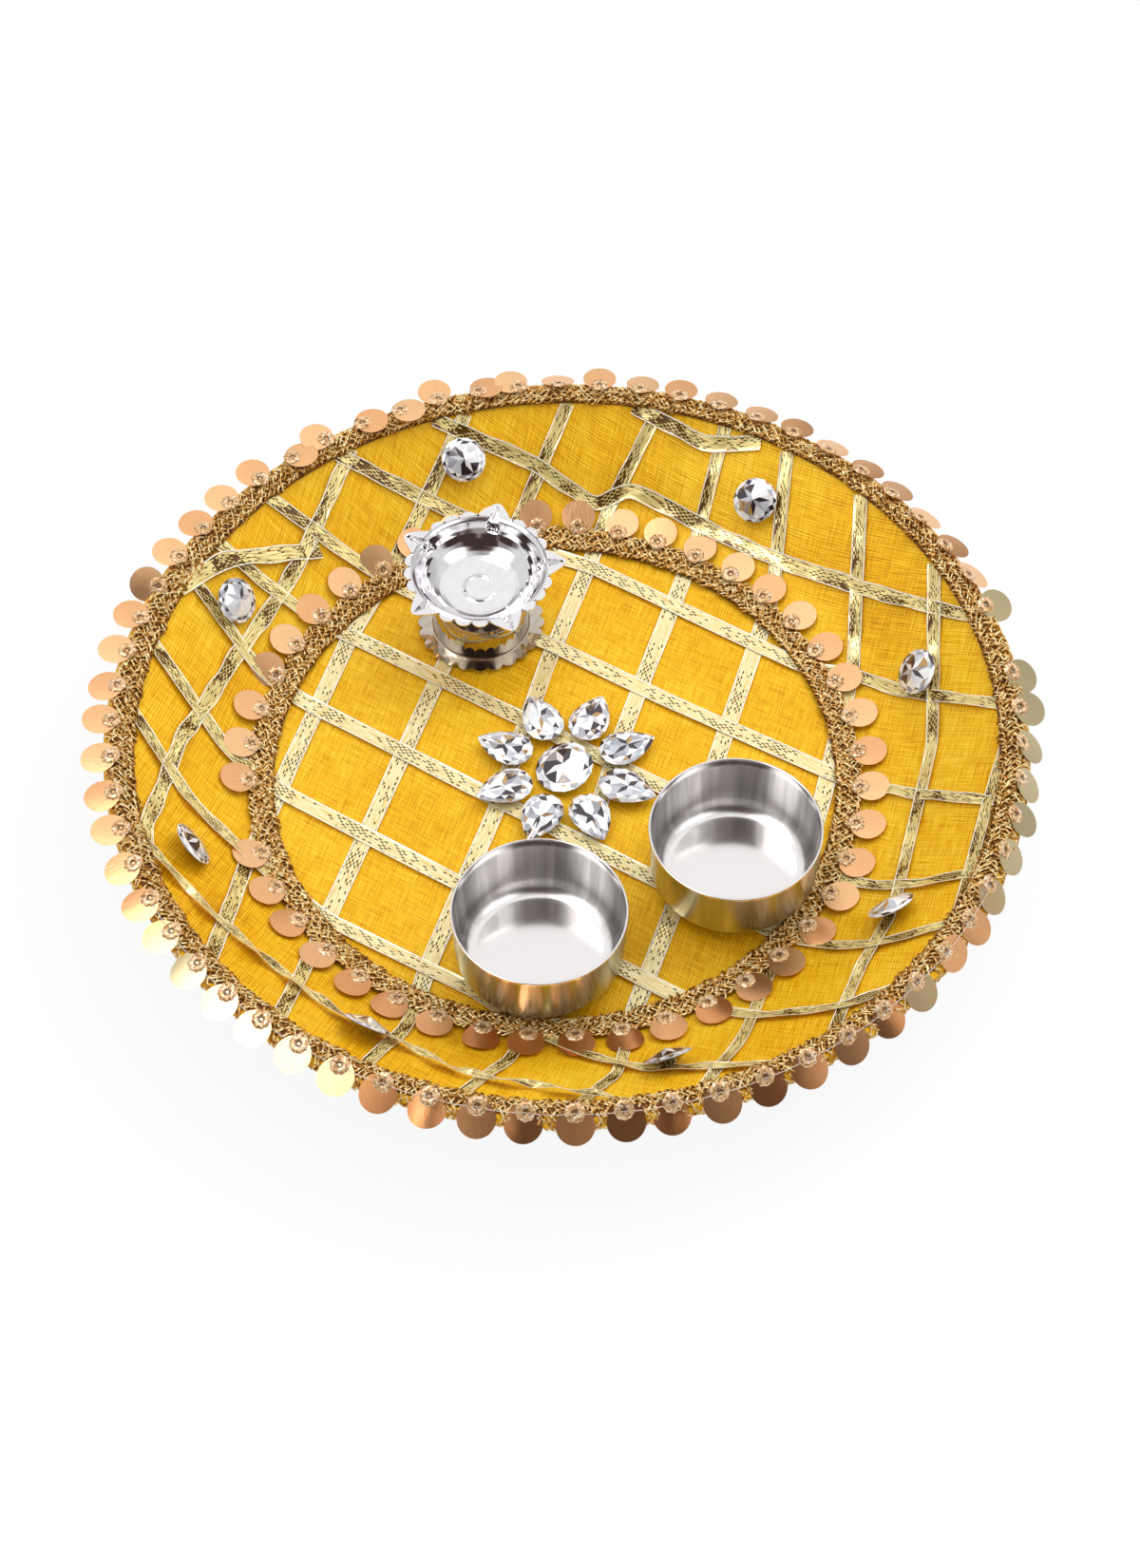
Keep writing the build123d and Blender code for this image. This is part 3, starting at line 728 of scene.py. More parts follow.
@dataclass(frozen=True)
class SpunSteel:
    """Satin stainless steel with fine lines left by spinning, which stretch reflections."""

    name: str
    pale: str = "F0EDEC"
    dark: str = "C2BEBC"
    # Painted reflection: the outside's olive grey stands in for the cloth mirrored in it.
    outside: str = "ABA99A"
    roughness: float = 0.08
    wall_roughness: float = 0.22
    outer_roughness: float = 0.13
    bloom_roughness: float = 0.06
    bloom_size: float = 12.0
    wall_start: Pair = (19.0, 25.0)
    wall_end: Pair = (40.0, 42.0)
    outer_start: Pair = (44.4, 45.2)
    streak_size: Triple = (5.0, 90.0, 1.0)
    wall_streaks: Pair = (0.36, 0.62)
    outer_streaks: Pair = (0.35, 1.0)
    stretch: float = 0.75
    quarter_turn: float = 0.25

    def make(self) -> Material:
        """The material: u runs around the piece and v along its section, so the lines run along u; wall
        streaks and the olive outside are painted reflections.
        """
        values = {"Anisotropic": self.stretch, "Anisotropic_Rotation": self.quarter_turn}
        shader = Shader(self.name, Metallic=1.0, **values)
        shader.drive("Tangent", shader.node("Tangent", direction_type="UV_MAP", uv_map=UV_NAME).outputs[0])
        # Painted reflections: streaks along the section light and darken the inner wall, and the outside is
        # tinted like mirrored cloth.
        painted_streaks = shader.noise(shader.turned(shader.way(), self.streak_size), detail=4)
        streaked = shader.mix(shader.spread(painted_streaks, *self.wall_streaks), self.dark, self.pale)
        outside = shader.mix(shader.spread(painted_streaks, *self.outer_streaks), self.outside, self.pale)
        along = shader.axis(shader.way(), 1)
        inside = shader.spread(along, *self.wall_start)
        wall = shader.math("SUBTRACT", inside, shader.spread(along, *self.wall_end))
        outer = shader.spread(along, *self.outer_start)
        within = shader.mix(wall, self.pale, streaked)
        shader.drive("Base Color", shader.mix(outer, within, outside))
        even = shader.scaled(wall, self.wall_roughness, self.roughness)
        even = shader.scaled(outer, self.outer_roughness, even)
        shader.roughen(shader.grain(self.bloom_size, detail=3), self.bloom_roughness, even)
        return shader.material


@dataclass(frozen=True)
class PolishedSteel:
    """Mirror-bright pressed steel with faint scuffs."""

    name: str
    shades: Stops
    scuff_size: Triple = (4 * MM, 2 * MM, 4 * MM)
    scuff_way: float = 0.7
    scuff_share: float = 0.06
    roughness: float = 0.04
    dent_size: float = 9.0
    dent_bump: Pair = (0.02, 0.4)

    def make(self) -> Material:
        """The material: scuffs change the colour and roughness a little, and the sheet is faintly dented."""
        shader = Shader(self.name, Metallic=1.0)
        scuffs = shader.noise(shader.turned(shader.place(), self.scuff_size, self.scuff_way), detail=3)
        shader.paint(scuffs, self.shades)
        shader.roughen(scuffs, self.scuff_share, self.roughness)
        shader.bump(shader.grain(self.dent_size), *self.dent_bump)
        return shader.material


@dataclass(frozen=True)
class PlateSteel:
    """Rolled plate steel with rings left by polishing."""

    dark: str = "A9A9AB"
    pale: str = "D6D6D6"
    rings_per_metre: float = 2500.0
    ring_bump: Pair = (0.02, 0.4)
    bloom_size: float = 30.0
    bloom_share: float = 0.2
    roughness: float = 0.22

    def make(self) -> Material:
        """The material: noise over the distance from the axis gives the rings."""
        shader = Shader("plate_steel", Metallic=1.0)
        plan = [shader.axis(shader.place(), number) for number in (0, 1)]
        square = [shader.math("MULTIPLY", side, side) for side in plan]
        radius = shader.math("SQRT", shader.math("ADD", *square))
        feeds = {"W": radius, "Scale": self.rings_per_metre, "Detail": 3.0}
        rings = shader.node("TexNoise", feeds, noise_dimensions="1D").outputs[0]
        shader.drive("Base Color", shader.mix(rings, self.dark, self.pale))
        shader.roughen(shader.grain(self.bloom_size, detail=4), self.bloom_share, self.roughness)
        shader.bump(rings, *self.ring_bump)
        return shader.material


@dataclass(frozen=True)
class NylonThread:
    """Clear sewing thread."""

    colour: str = "F6EFE4"
    clear_share: float = 0.45
    bending: float = 1.53
    grain_size: float = 1.0
    grain_share: float = 0.2
    roughness: float = 0.1

    def make(self) -> Material:
        """The material: pale clear nylon with a little noise in its gloss."""
        values = {"Base_Color": self.colour, "Transmission_Weight": self.clear_share, "IOR": self.bending}
        shader = Shader("nylon_thread", **values)
        shader.roughen(shader.grain(self.grain_size), self.grain_share, self.roughness)
        return shader.material


@dataclass(frozen=True)
class PlateShape:
    """The plate's pressed shape, and the heights of the layers on it above its underside."""

    base_radius: float = 82.0
    bend_radius: float = 45.0
    wall_angle: float = math.radians(36)
    wall_width: float = 53.0
    sheet: float = 0.8
    bead_radius: float = 1.5
    cloth_top: float = 1.25
    steep_ribbon_top: float = 1.6
    flat_ribbon_top: float = 1.95
    tail_ribbon_top: float = 2.3
    seat: float = 2.1
    braid_top: float = 3.4
    braid_width: float = 7.5
    braid_overhang: float = 1.5

    @property
    def rim_radius(self) -> float:
        """The radius where the wall ends."""
        return self.base_radius + self.wall_width

    @property
    def wall_length(self) -> float:
        """The length of the straight wall, along its slope."""
        run = self.wall_width - self.bend_radius * math.sin(self.wall_angle)
        return run / math.cos(self.wall_angle)

    def wall_point(self, height: float, along: float) -> Pair:
        """The radius and level of a wall point, at a height and a length along the wall."""
        bend, sine, cosine = self.bend_radius - height, math.sin(self.wall_angle), math.cos(self.wall_angle)
        radius, level = self.base_radius + bend * sine, self.bend_radius - bend * cosine
        return radius + along * cosine, level + along * sine

    def up_wall(self, plan: Array, start: float, full: float) -> Array:
        """How far up the wall plan points are, from 0 at one distance past the base to 1 at another."""
        radius = np.hypot(plan[..., 0], plan[..., 1])
        return eased(radius, self.base_radius + start, self.base_radius + full)

    def level(self, radius: Array, height: Array | float) -> Array:
        """The level of a layer: flat, then a circle's arc, then a straight slope.

        Args:
            radius: Plan distances from the axis.
            height: Heights of the layer above the underside.

        Returns:
            The levels.
        """
        bend = self.bend_radius - height
        reach = bend * math.sin(self.wall_angle)
        run = np.clip(radius - self.base_radius, 0, reach)
        rise = np.maximum(radius - self.base_radius - reach, 0) * math.tan(self.wall_angle)
        return self.bend_radius - np.sqrt(bend**2 - run**2) + rise

    def lifted(self, plan: Array, height: Array | float) -> Array:
        """Plan points set on a layer of the plate."""
        radius = np.hypot(plan[..., 0], plan[..., 1])
        return np.concatenate([plan, self.level(radius, height)[..., None]], axis=-1)

    def normal(self, plan: Array) -> Array:
        """The direction square to the plate at plan points: upright, tilted inwards on the slope."""
        radius = np.maximum(np.hypot(plan[..., 0], plan[..., 1]), TINY)
        reach = self.bend_radius * math.sin(self.wall_angle)
        tilt = np.arcsin(np.clip(radius - self.base_radius, 0, reach) / self.bend_radius)
        inward = -np.sin(tilt)[..., None] * plan / radius[..., None]
        return np.concatenate([inward, np.cos(tilt)[..., None]], axis=-1)


PLATE = PlateShape()


@dataclass(frozen=True)
class Oval:
    """An oval ring in plan: its half widths, and how far its centre lies along X."""

    half_x: float
    half_y: float
    shift: float

    def point(self, turn: Array, out: Array | float = 0.0) -> Array:
        """The plan points at turns and distances outside the oval."""
        x = self.shift + (self.half_x + out) * np.cos(turn)
        return np.stack([x, (self.half_y + out) * np.sin(turn)], axis=-1)

    def outward(self, turn: Array, out: float) -> Array:
        """The directions straight out of the oval at a distance outside it, in plan."""
        x = (self.half_y + out) * np.cos(turn)
        return unit(np.stack([x, (self.half_x + out) * np.sin(turn)], axis=-1))

    def reach(self, turn: float, out: float = 0.0) -> float:
        """The distance from the plate's axis to the oval in a direction."""
        half_x, half_y = self.half_x + out, self.half_y + out
        step_x, step_y, offset = math.cos(turn) / half_x, math.sin(turn) / half_y, self.shift / half_x
        square = step_x**2 + step_y**2
        middle = step_x * offset / square
        return middle + math.sqrt(middle**2 + (1 - offset**2) / square)


INNER_EDGE = Oval(half_x=PLATE.base_radius + 3.65, half_y=PLATE.base_radius + 6.35, shift=-3.4)
OUTER_EDGE_RADIUS = (
    PLATE.wall_point(PLATE.braid_top, PLATE.wall_length + PLATE.braid_overhang)[0] - PLATE.braid_width
)
OUTER_EDGE = Oval(half_x=OUTER_EDGE_RADIUS, half_y=OUTER_EDGE_RADIUS, shift=0.0)


@dataclass(frozen=True)
class Creases:
    """The low creases of the glued cloth: crossing waves on the wall and one pleat at the back."""

    wall_height: float = 0.42
    base_height: float = 0.05
    wall_start: float = 4.0
    wall_full: float = 24.0
    pleat_height: float = 0.7
    pleat_width: float = 2.6
    pleat_rise: float = 0.5
    pleat_foot: Pair = (12.5, 101.0)
    pleat_head: Pair = (16.5, 130.0)
    waves: tuple[Triple, ...] = (
        (0.21, 0.10, 0.3),
        (-0.13, 0.24, 1.9),
        (0.34, -0.17, 4.0),
        (0.08, 0.37, 2.6),
    )

    def height(self, plan: Array) -> Array:
        """The height of the cloth above its even layer: sines summed, plus a ridge along the pleat.

        Args:
            plan: Plan points.

        Returns:
            The heights.
        """
        x, y = plan[..., 0], plan[..., 1]
        swing = sum(np.sin(step_x * x + step_y * y + phase) for step_x, step_y, phase in self.waves)
        even = 0.5 + swing / (2 * len(self.waves))
        wall = PLATE.up_wall(plan, self.wall_start, self.wall_full)
        rise = even * (self.base_height + (self.wall_height - self.base_height) * wall)
        foot, head = np.array(self.pleat_foot), np.array(self.pleat_head)
        run = head - foot
        share = np.clip(((plan - foot) @ run) / (run @ run), 0, 1)
        off = np.linalg.norm(plan - foot - share[..., None] * run, axis=-1)
        ridge = np.exp(-((off / self.pleat_width) ** 2))
        return rise + self.pleat_height * eased(share, 0, self.pleat_rise) * ridge


CREASES = Creases()


@dataclass
class ClothCover:
    """The golden cloth glued over the plate, with its edge turned over the bead."""

    thickness: float = 0.3
    columns: int = 289
    rows: int = 84
    edge_rows: int = 8
    edge_end: float = math.radians(-60)
    sharp_angle: float = math.radians(80)
    flat_size: float = 0.31
    flat_area: float = 0.0745

    def build(self) -> None:
        """Makes the sheet: rings of points on the cloth's layer, then rings round the bead."""
        turn = np.linspace(0, FULL_TURN, self.columns)
        radius = np.linspace(0, PLATE.wall_point(PLATE.cloth_top, PLATE.wall_length)[0], self.rows)
        plan = ringed(radius[:, None], turn, 0.0)[..., :2]
        sheet = PLATE.lifted(plan, PLATE.cloth_top + CREASES.height(plan))
        rim = PLATE.wall_point(PLATE.sheet, PLATE.wall_length)
        centre_radius = rim[0] + PLATE.bead_radius * math.sin(PLATE.wall_angle)
        centre_level = rim[1] - PLATE.bead_radius * math.cos(PLATE.wall_angle)
        around = np.linspace(PLATE.wall_angle + math.pi / 2, self.edge_end, self.edge_rows + 1)[1:, None]
        fold = PLATE.bead_radius + PLATE.cloth_top - PLATE.sheet
        edge = ringed(centre_radius + fold * np.cos(around), turn, centre_level + fold * np.sin(around))
        made = Surface().grid(np.concatenate([sheet, edge])).piece(
            "tissue_cloth_cover", Body.THALI, Slot.CLOTH, [TissueCloth().make()], ("cloth_cover",),
            crease=self.sharp_angle, thickness=self.thickness,
        )


FLAT_ROUTE_SHARES: tuple[Route, ...] = (
    ((0.165, 0.97), (0.34, 0.855), (0.465, 0.84)),
    ((-0.34, 0.97), (-0.08, 0.845), (0.075, 0.76), (0.15, 0.79), (0.235, 0.75), (0.615, 0.515),
     (0.96, 0.315)),
    ((-0.58, 0.85), (-0.25, 0.725), (0.06, 0.605), (0.545, 0.305), (0.67, 0.26), (0.77, 0.18), (1.0, 0.05)),
    ((-0.76, 0.72), (-0.46, 0.57), (-0.04, 0.37), (0.23, 0.205), (0.59, 0.0), (0.72, -0.065), (1.0, -0.23)),
    ((-0.88, 0.57), (-0.725, 0.48), (-0.49, 0.385), (0.235, -0.055), (0.645, -0.32), (0.75, -0.37),
     (0.92, -0.415)),
    ((-0.94, 0.465), (-0.71, 0.265), (-0.21, -0.045), (0.205, -0.30), (0.58, -0.495), (0.665, -0.525),
     (0.85, -0.555)),
    ((-0.98, 0.245), (-0.755, 0.02), (-0.635, -0.06), (0.245, -0.60), (0.405, -0.68), (0.565, -0.71),
     (0.71, -0.71)),
    ((-0.99, 0.045), (-0.83, -0.145), (-0.52, -0.40), (-0.19, -0.585), (0.02, -0.755), (0.16, -0.83),
     (0.43, -0.87)),
    ((-0.94, -0.305), (-0.765, -0.46), (-0.475, -0.70), (-0.36, -0.755), (-0.21, -0.86), (-0.05, -0.895),
     (0.145, -0.975)),
)
STEEP_ROUTE_SHARES: tuple[Route, ...] = (
    ((-0.525, 0.845), (-0.63, 0.535), (-0.765, 0.26), (-0.86, 0.005), (-0.905, -0.27), (-0.925, -0.385)),
    ((-0.25, 0.97), (-0.40, 0.62), (-0.505, 0.395), (-0.625, 0.02), (-0.70, -0.26), (-0.765, -0.64)),
    ((0.005, 0.995), (-0.115, 0.73), (-0.28, 0.32), (-0.52, -0.395), (-0.55, -0.525), (-0.615, -0.795)),
    ((0.23, 0.98), (0.10, 0.75), (-0.045, 0.31), (-0.16, -0.115), (-0.30, -0.525), (-0.34, -0.715),
     (-0.425, -0.90)),
    ((0.395, 0.92), (0.30, 0.63), (0.19, 0.30), (0.13, 0.11), (-0.115, -0.78), (-0.205, -0.92)),
    ((0.545, 0.84), (0.49, 0.515), (0.335, 0.015), (0.235, -0.37), (0.145, -0.63), (0.105, -0.84),
     (0.02, -0.97)),
    ((0.72, 0.70), (0.665, 0.28), (0.575, -0.08), (0.40, -0.65), (0.365, -0.755), (0.27, -0.94)),
    ((0.88, 0.48), (0.835, 0.21), (0.82, 0.015), (0.70, -0.435), (0.625, -0.575), (0.545, -0.81)),
    ((0.965, -0.06), (0.915, -0.205), (0.83, -0.515)),
)
TAIL_ROUTE_SHARES: Route = ((-0.90, 0.385), (-0.785, 0.49), (-0.58, 0.585))


@dataclass(frozen=True)
class RibbonLie:
    """How one ribbon lies: its share of the full width, its roll and its loose waves, in millimetres."""

    width_share: float = 1.0
    roll: float = 0.16
    wave: float = 0.3


@dataclass
class RibbonLattice:
    """The metallic ribbons of the lattice, each a strip carried along its plan route."""

    width: float = 5.3
    wall_width_share: float = 0.78
    front_width_share: float = 0.62
    front_angle: float = math.radians(-45)
    front_cosine: float = 0.8
    loose_start: float = 2.0
    loose_full: float = 20.0
    end_radius: float = 130.5
    thickness: float = 0.12
    step: float = 1.0
    least_steps: int = 8
    corner: float = 4.5
    selvedge: float = 0.1
    selvedge_shares: Pair = (0.84, 0.96)
    tuck: float = 12.0
    roll_length: float = 17.0
    wave_length: float = 12.0
    wave_phase: float = 2.4
    base_wave: float = 0.03
    base_roll: float = 0.14
    base_roll_length: float = 9.0
    across_shares: tuple[float, ...] = (-1.0, -0.94, -0.86, -0.5, 0.0, 0.5, 0.86, 0.94, 1.0)
    lies: dict[str, RibbonLie] = field(
        default_factory=lambda: {
            "flat_ribbon_9": RibbonLie(0.55, 0.8, 0.6),
            "flat_ribbon_8": RibbonLie(0.85, 0.4, 0.35),
            "flat_ribbon_7": RibbonLie(1.0, 0.25, 0.3),
            "steep_ribbon_1": RibbonLie(0.95, 0.5, 0.4),
            "steep_ribbon_7": RibbonLie(1.0, 0.3, 0.3),
            "steep_ribbon_8": RibbonLie(1.0, 0.4, 0.35),
            "ribbon_tail": RibbonLie(1.1, 0.3, 0.3),
        }
    )

    def centre_line(self, shares: Route) -> Array:
        """The route in plan: even steps along the corners, smoothed by a moving average.

        Args:
            shares: The route's corners, as shares of the rim radius.

        Returns:
            Plan points of shape (n, 2).
        """
        corners = np.array(shares) * PLATE.rim_radius
        reach = np.linalg.norm(corners, axis=1, keepdims=True)
        corners = corners * np.minimum(1, self.end_radius / reach)
        runs = lengths(corners)
        along = np.linspace(0, runs[-1], max(self.least_steps, round(runs[-1] / self.step)))
        line = np.stack([np.interp(along, runs, corners[:, axis]) for axis in (0, 1)], axis=-1)
        window = np.hanning(2 * round(self.corner / self.step) + 3)[1:-1]
        pad = len(window) // 2
        padded = np.pad(line, ((pad, pad), (0, 0)), mode="reflect", reflect_type="odd")
        smooth = [np.convolve(padded[:, axis], window / window.sum(), "valid") for axis in (0, 1)]
        return np.stack(smooth, axis=-1)

    def narrowing(self, line: Array, loose: Array) -> Array:
        """The share of the width left where the ribbon is drawn up the wall, least at the front right.

        Args:
            line: The route in plan.
            loose: How far up the wall each point is, from 0 to 1.

        Returns:
            The shares.
        """
        away = np.arctan2(line[:, 1], line[:, 0]) - self.front_angle
        front = eased(np.cos(away), 0.0, self.front_cosine)
        wall = self.wall_width_share + (self.front_width_share - self.wall_width_share) * front
        return 1 + (wall - 1) * loose

    def strip(self, name: str, shares: Route, top: float, finish: Material) -> None:
        """Makes one ribbon.

        Each point is the route's point plus a share of half the width along its side. Its height is the
        layer's, plus the cloth's creases, a roll about the route, waves along it and a raised selvedge.

        Args:
            name: The node that it stands for.
            shares: The route's corners.
            top: The height of its layer.
            finish: Its material.
        """
        lie = self.lies.get(name, RibbonLie())
        line = self.centre_line(shares)
        ahead = unit(np.gradient(line, axis=0))
        side = np.stack([-ahead[:, 1], ahead[:, 0]], axis=-1)
        along = lengths(line)[:, None]
        seed = sum(map(ord, name))
        across = np.array(self.across_shares)
        loose = PLATE.up_wall(line, self.loose_start, self.loose_full)[:, None]
        half = self.width / 2 * lie.width_share * self.narrowing(line, loose[:, 0])
        plan = line[:, None, :] + (half[:, None] * across)[..., None] * side[:, None, :]
        rolling = np.sin(FULL_TURN * along / self.roll_length + seed)
        waving = 0.5 + 0.5 * np.sin(FULL_TURN * along / self.wave_length + self.wave_phase * seed)
        lift = lie.roll * (1 + rolling * across) * loose
        lift = lift + self.base_roll * (1 + np.sin(along / self.base_roll_length + seed) * across)
        lift = lift + self.base_wave + (lie.wave - self.base_wave) * loose * waving
        tucked = eased(np.minimum(along, along[-1] - along), 0.0, self.tuck)
        lift = tucked * lift + self.selvedge * eased(np.abs(across), *self.selvedge_shares)
        points = PLATE.lifted(plan, top + CREASES.height(plan) + lift)
        uv = np.stack(np.broadcast_arrays(seed + along, across * FilmRibbon.half_width), axis=-1)
        Surface().grid(points, uv, loose).piece(
            "woven_" + name, Body.THALI, Slot.RIBBON, [finish], (name,), thickness=self.thickness
        )

    def build(self) -> None:
        """Makes every ribbon of both families, and the loose tail."""
        finish = FilmRibbon().make()
        for number, shares in enumerate(FLAT_ROUTE_SHARES, 1):
            self.strip(f"flat_ribbon_{number}", shares, PLATE.flat_ribbon_top, finish)
        for number, shares in enumerate(STEEP_ROUTE_SHARES, 1):
            self.strip(f"steep_ribbon_{number}", shares, PLATE.steep_ribbon_top, finish)
        self.strip("ribbon_tail", TAIL_ROUTE_SHARES, PLATE.tail_ribbon_top, finish)


@dataclass
class Braid:
    """One chain-stitched braid: crossing plies on a dark ground band that may curl over the rim."""

    node: str
    edge: Oval
    stitches: int
    first_share: float = 0.0
    back_share: float = 0.0
    back_turn: float = 0.3
    curl_share: float = 0.0
    front_share: float = 0.0
    front_reach: float = 1.2
    right_reach: float = 0.6
    curl_start: float = 1.0
    curl_radius: float = 2.6
    ropes: int = 5
    samples: int = 8
    sides: int = 4
    ply_radius: float = 0.36
    ply_sway: float = 0.84
    ply_level: float = 0.62
    ply_rise: float = 0.3
    painted_highlight_phase: float = 0.9
    rope_phase: float = 1.3
    slack: float = 0.8
    slack_waves: tuple[int, int] = (29, 71)
    slack_phases: Pair = (2.2, 4.1)
    wander: float = 0.2
    wander_waves: tuple[int, int] = (37, 61)
    loose: float = 0.4
    loose_waves: int = 97
    floats: int = 4
    float_samples: int = 3
    float_span: int = 4
    float_waves: tuple[int, int] = (23, 41)
    float_radius: float = 0.26
    float_level: float = 0.95
    float_rise: float = 0.12
    float_reach: float = 0.42
    float_tone: float = 0.3
    ground_rows: int = 9
    ground_columns: int = 361
    ground_level: float = 0.1
    ground_arch: float = 0.4
    sharp_angle: float = math.radians(100)

    def first(self, turn: Array) -> Array:
        """The share of the width where the braid begins, which is larger at the back of the plate."""
        return self.first_share + self.back_share * np.clip(np.sin(turn + self.back_turn), 0, 1)

    def last(self, turn: Array) -> Array:
        """The share of the width where the braid ends, which is larger in front and on the right."""
        right = self.right_reach * np.maximum(np.cos(turn), 0)
        front = np.clip(-self.front_reach * np.sin(turn) + right, 0, 1)
        return 1 + self.curl_share + self.front_share * front

    def section(self, turn: Array, across: Array, height: Array) -> Array:
        """Points of the braid's section: straight up the wall, then round a circle over the rim.

        Args:
            turn: Turns about the plate.
            across: Distances outside the inner edge.
            height: Heights above the plate's underside.

        Returns:
            The points.
        """
        straight = PLATE.braid_width * self.curl_start
        plan = self.edge.point(turn, np.minimum(across, straight))
        points = PLATE.lifted(plan, height)
        curl = np.maximum(across - straight, 0)[..., None] / self.curl_radius
        normal = PLATE.normal(plan)
        out = np.cross(np.stack([-np.sin(turn), np.cos(turn), 0 * turn], axis=-1), normal)
        lift = (height - PLATE.seat)[..., None] + self.curl_radius
        return points + lift * (np.sin(curl) * out - (1 - np.cos(curl)) * normal)

    def ground(self, surface: Surface) -> None:
        """Adds the ground band: an arched strip from edge to edge."""
        turn = np.linspace(0, FULL_TURN, self.ground_columns)
        share = np.linspace(0, 1, self.ground_rows)[:, None]
        first = self.first(turn)
        across = PLATE.braid_width * (first + share * (self.last(turn) - first))
        arch = PLATE.seat + self.ground_level + self.ground_arch * np.sin(math.pi * share)
        surface.grid(self.section(*np.broadcast_arrays(turn, across, arch)), slot=1)

    def plies(self, surface: Surface) -> None:
        """Adds the plies: each winds round its rope's line by cos across and sin in height."""
        turn = np.linspace(0, FULL_TURN, self.stitches * self.samples + 1)
        rope = np.arange(self.ropes)[:, None, None]
        ply = np.arange(2)[None, :, None]
        hand = np.where(rope % 2 == 0, 1.0, -1.0)
        slow = np.sin(self.slack_waves[0] * turn + self.slack_phases[0] * rope)
        quick = np.sin(self.slack_waves[1] * turn + self.slack_phases[1] * rope + 2 * ply)
        slack = self.slack * (slow + quick)
        phase = hand * self.stitches * turn + math.pi * ply + self.rope_phase * rope + slack
        first, width = self.first(turn), self.last(turn) - self.first(turn)
        share = first + (rope + 0.5) / self.ropes * width
        sway = np.sin(self.wander_waves[0] * turn + 2 * rope) + np.sin(self.wander_waves[1] * turn + 5 * rope)
        drift = self.wander * sway
        loose = 1 + self.loose * np.sin(self.loose_waves * turn + 3 * rope + ply)
        swing = self.ply_sway * loose * width
        across = share * PLATE.braid_width + drift + swing * np.cos(phase)
        height = PLATE.seat + self.ply_level + self.ply_rise * np.sin(phase)
        # Painted highlight and shade: a ply is lighter where it rises and darker where it dips under its
        # neighbour.
        tone = 0.5 + 0.5 * np.sin(phase + self.painted_highlight_phase)
        self.strands(surface, turn, across, height, self.ply_radius, tone)

    def cross_strands(self, surface: Surface) -> None:
        """Adds the loose strands: each swings from edge to edge by a sine, in zigzags of uneven length."""
        turn = np.linspace(0, FULL_TURN, self.stitches * self.float_samples + 1)
        line = np.arange(self.floats)[:, None]
        uneven = np.sin(self.float_waves[0] * turn + line)
        swing = np.sin((self.stitches // self.float_span) * turn + FULL_TURN * line / self.floats + uneven)
        middle = 0.5 * (self.last(turn) + self.first(turn))
        reach = self.float_reach * (self.last(turn) - self.first(turn))
        across = PLATE.braid_width * (middle + reach * swing)
        height = PLATE.seat + self.float_level + self.float_rise * np.sin(self.stitches * turn + 2 * line)
        tone = 1 - self.float_tone + self.float_tone * np.sin(self.float_waves[1] * turn + line)
        self.strands(surface, turn, across, height, self.float_radius, tone)

    def strands(
        self, surface: Surface, turn: Array, across: Array, height: Array, radius: float, tone: Array
    ) -> None:
        """Adds round strands along lines on the braid.

        Args:
            surface: The mesh that takes them.
            turn: Turns about the plate, of shape (n,).
            across: Distances outside the inner edge, of shape (..., n).
            height: Heights above the plate's underside.
            radius: The strands' radius.
            tone: How bright each point is; on the plies this is painted highlight and shade.
        """
        centres = self.section(np.broadcast_to(turn, across.shape), across, height)
        rings = tubes(centres, PLATE.normal(centres[..., :2]), radius, self.sides)
        surface.grid(rings, tone=tone[..., None])

    def build(self) -> None:
        """Makes the braid."""
        yarn = BraidYarn()
        surface = Surface()
        self.plies(surface)
        self.cross_strands(surface)
        self.ground(surface)
        surface.piece(
            "stitched_" + self.node, Body.THALI, Slot.BRAID, [yarn.make(), yarn.ground()], (self.node,),
            crease=self.sharp_angle,
        )


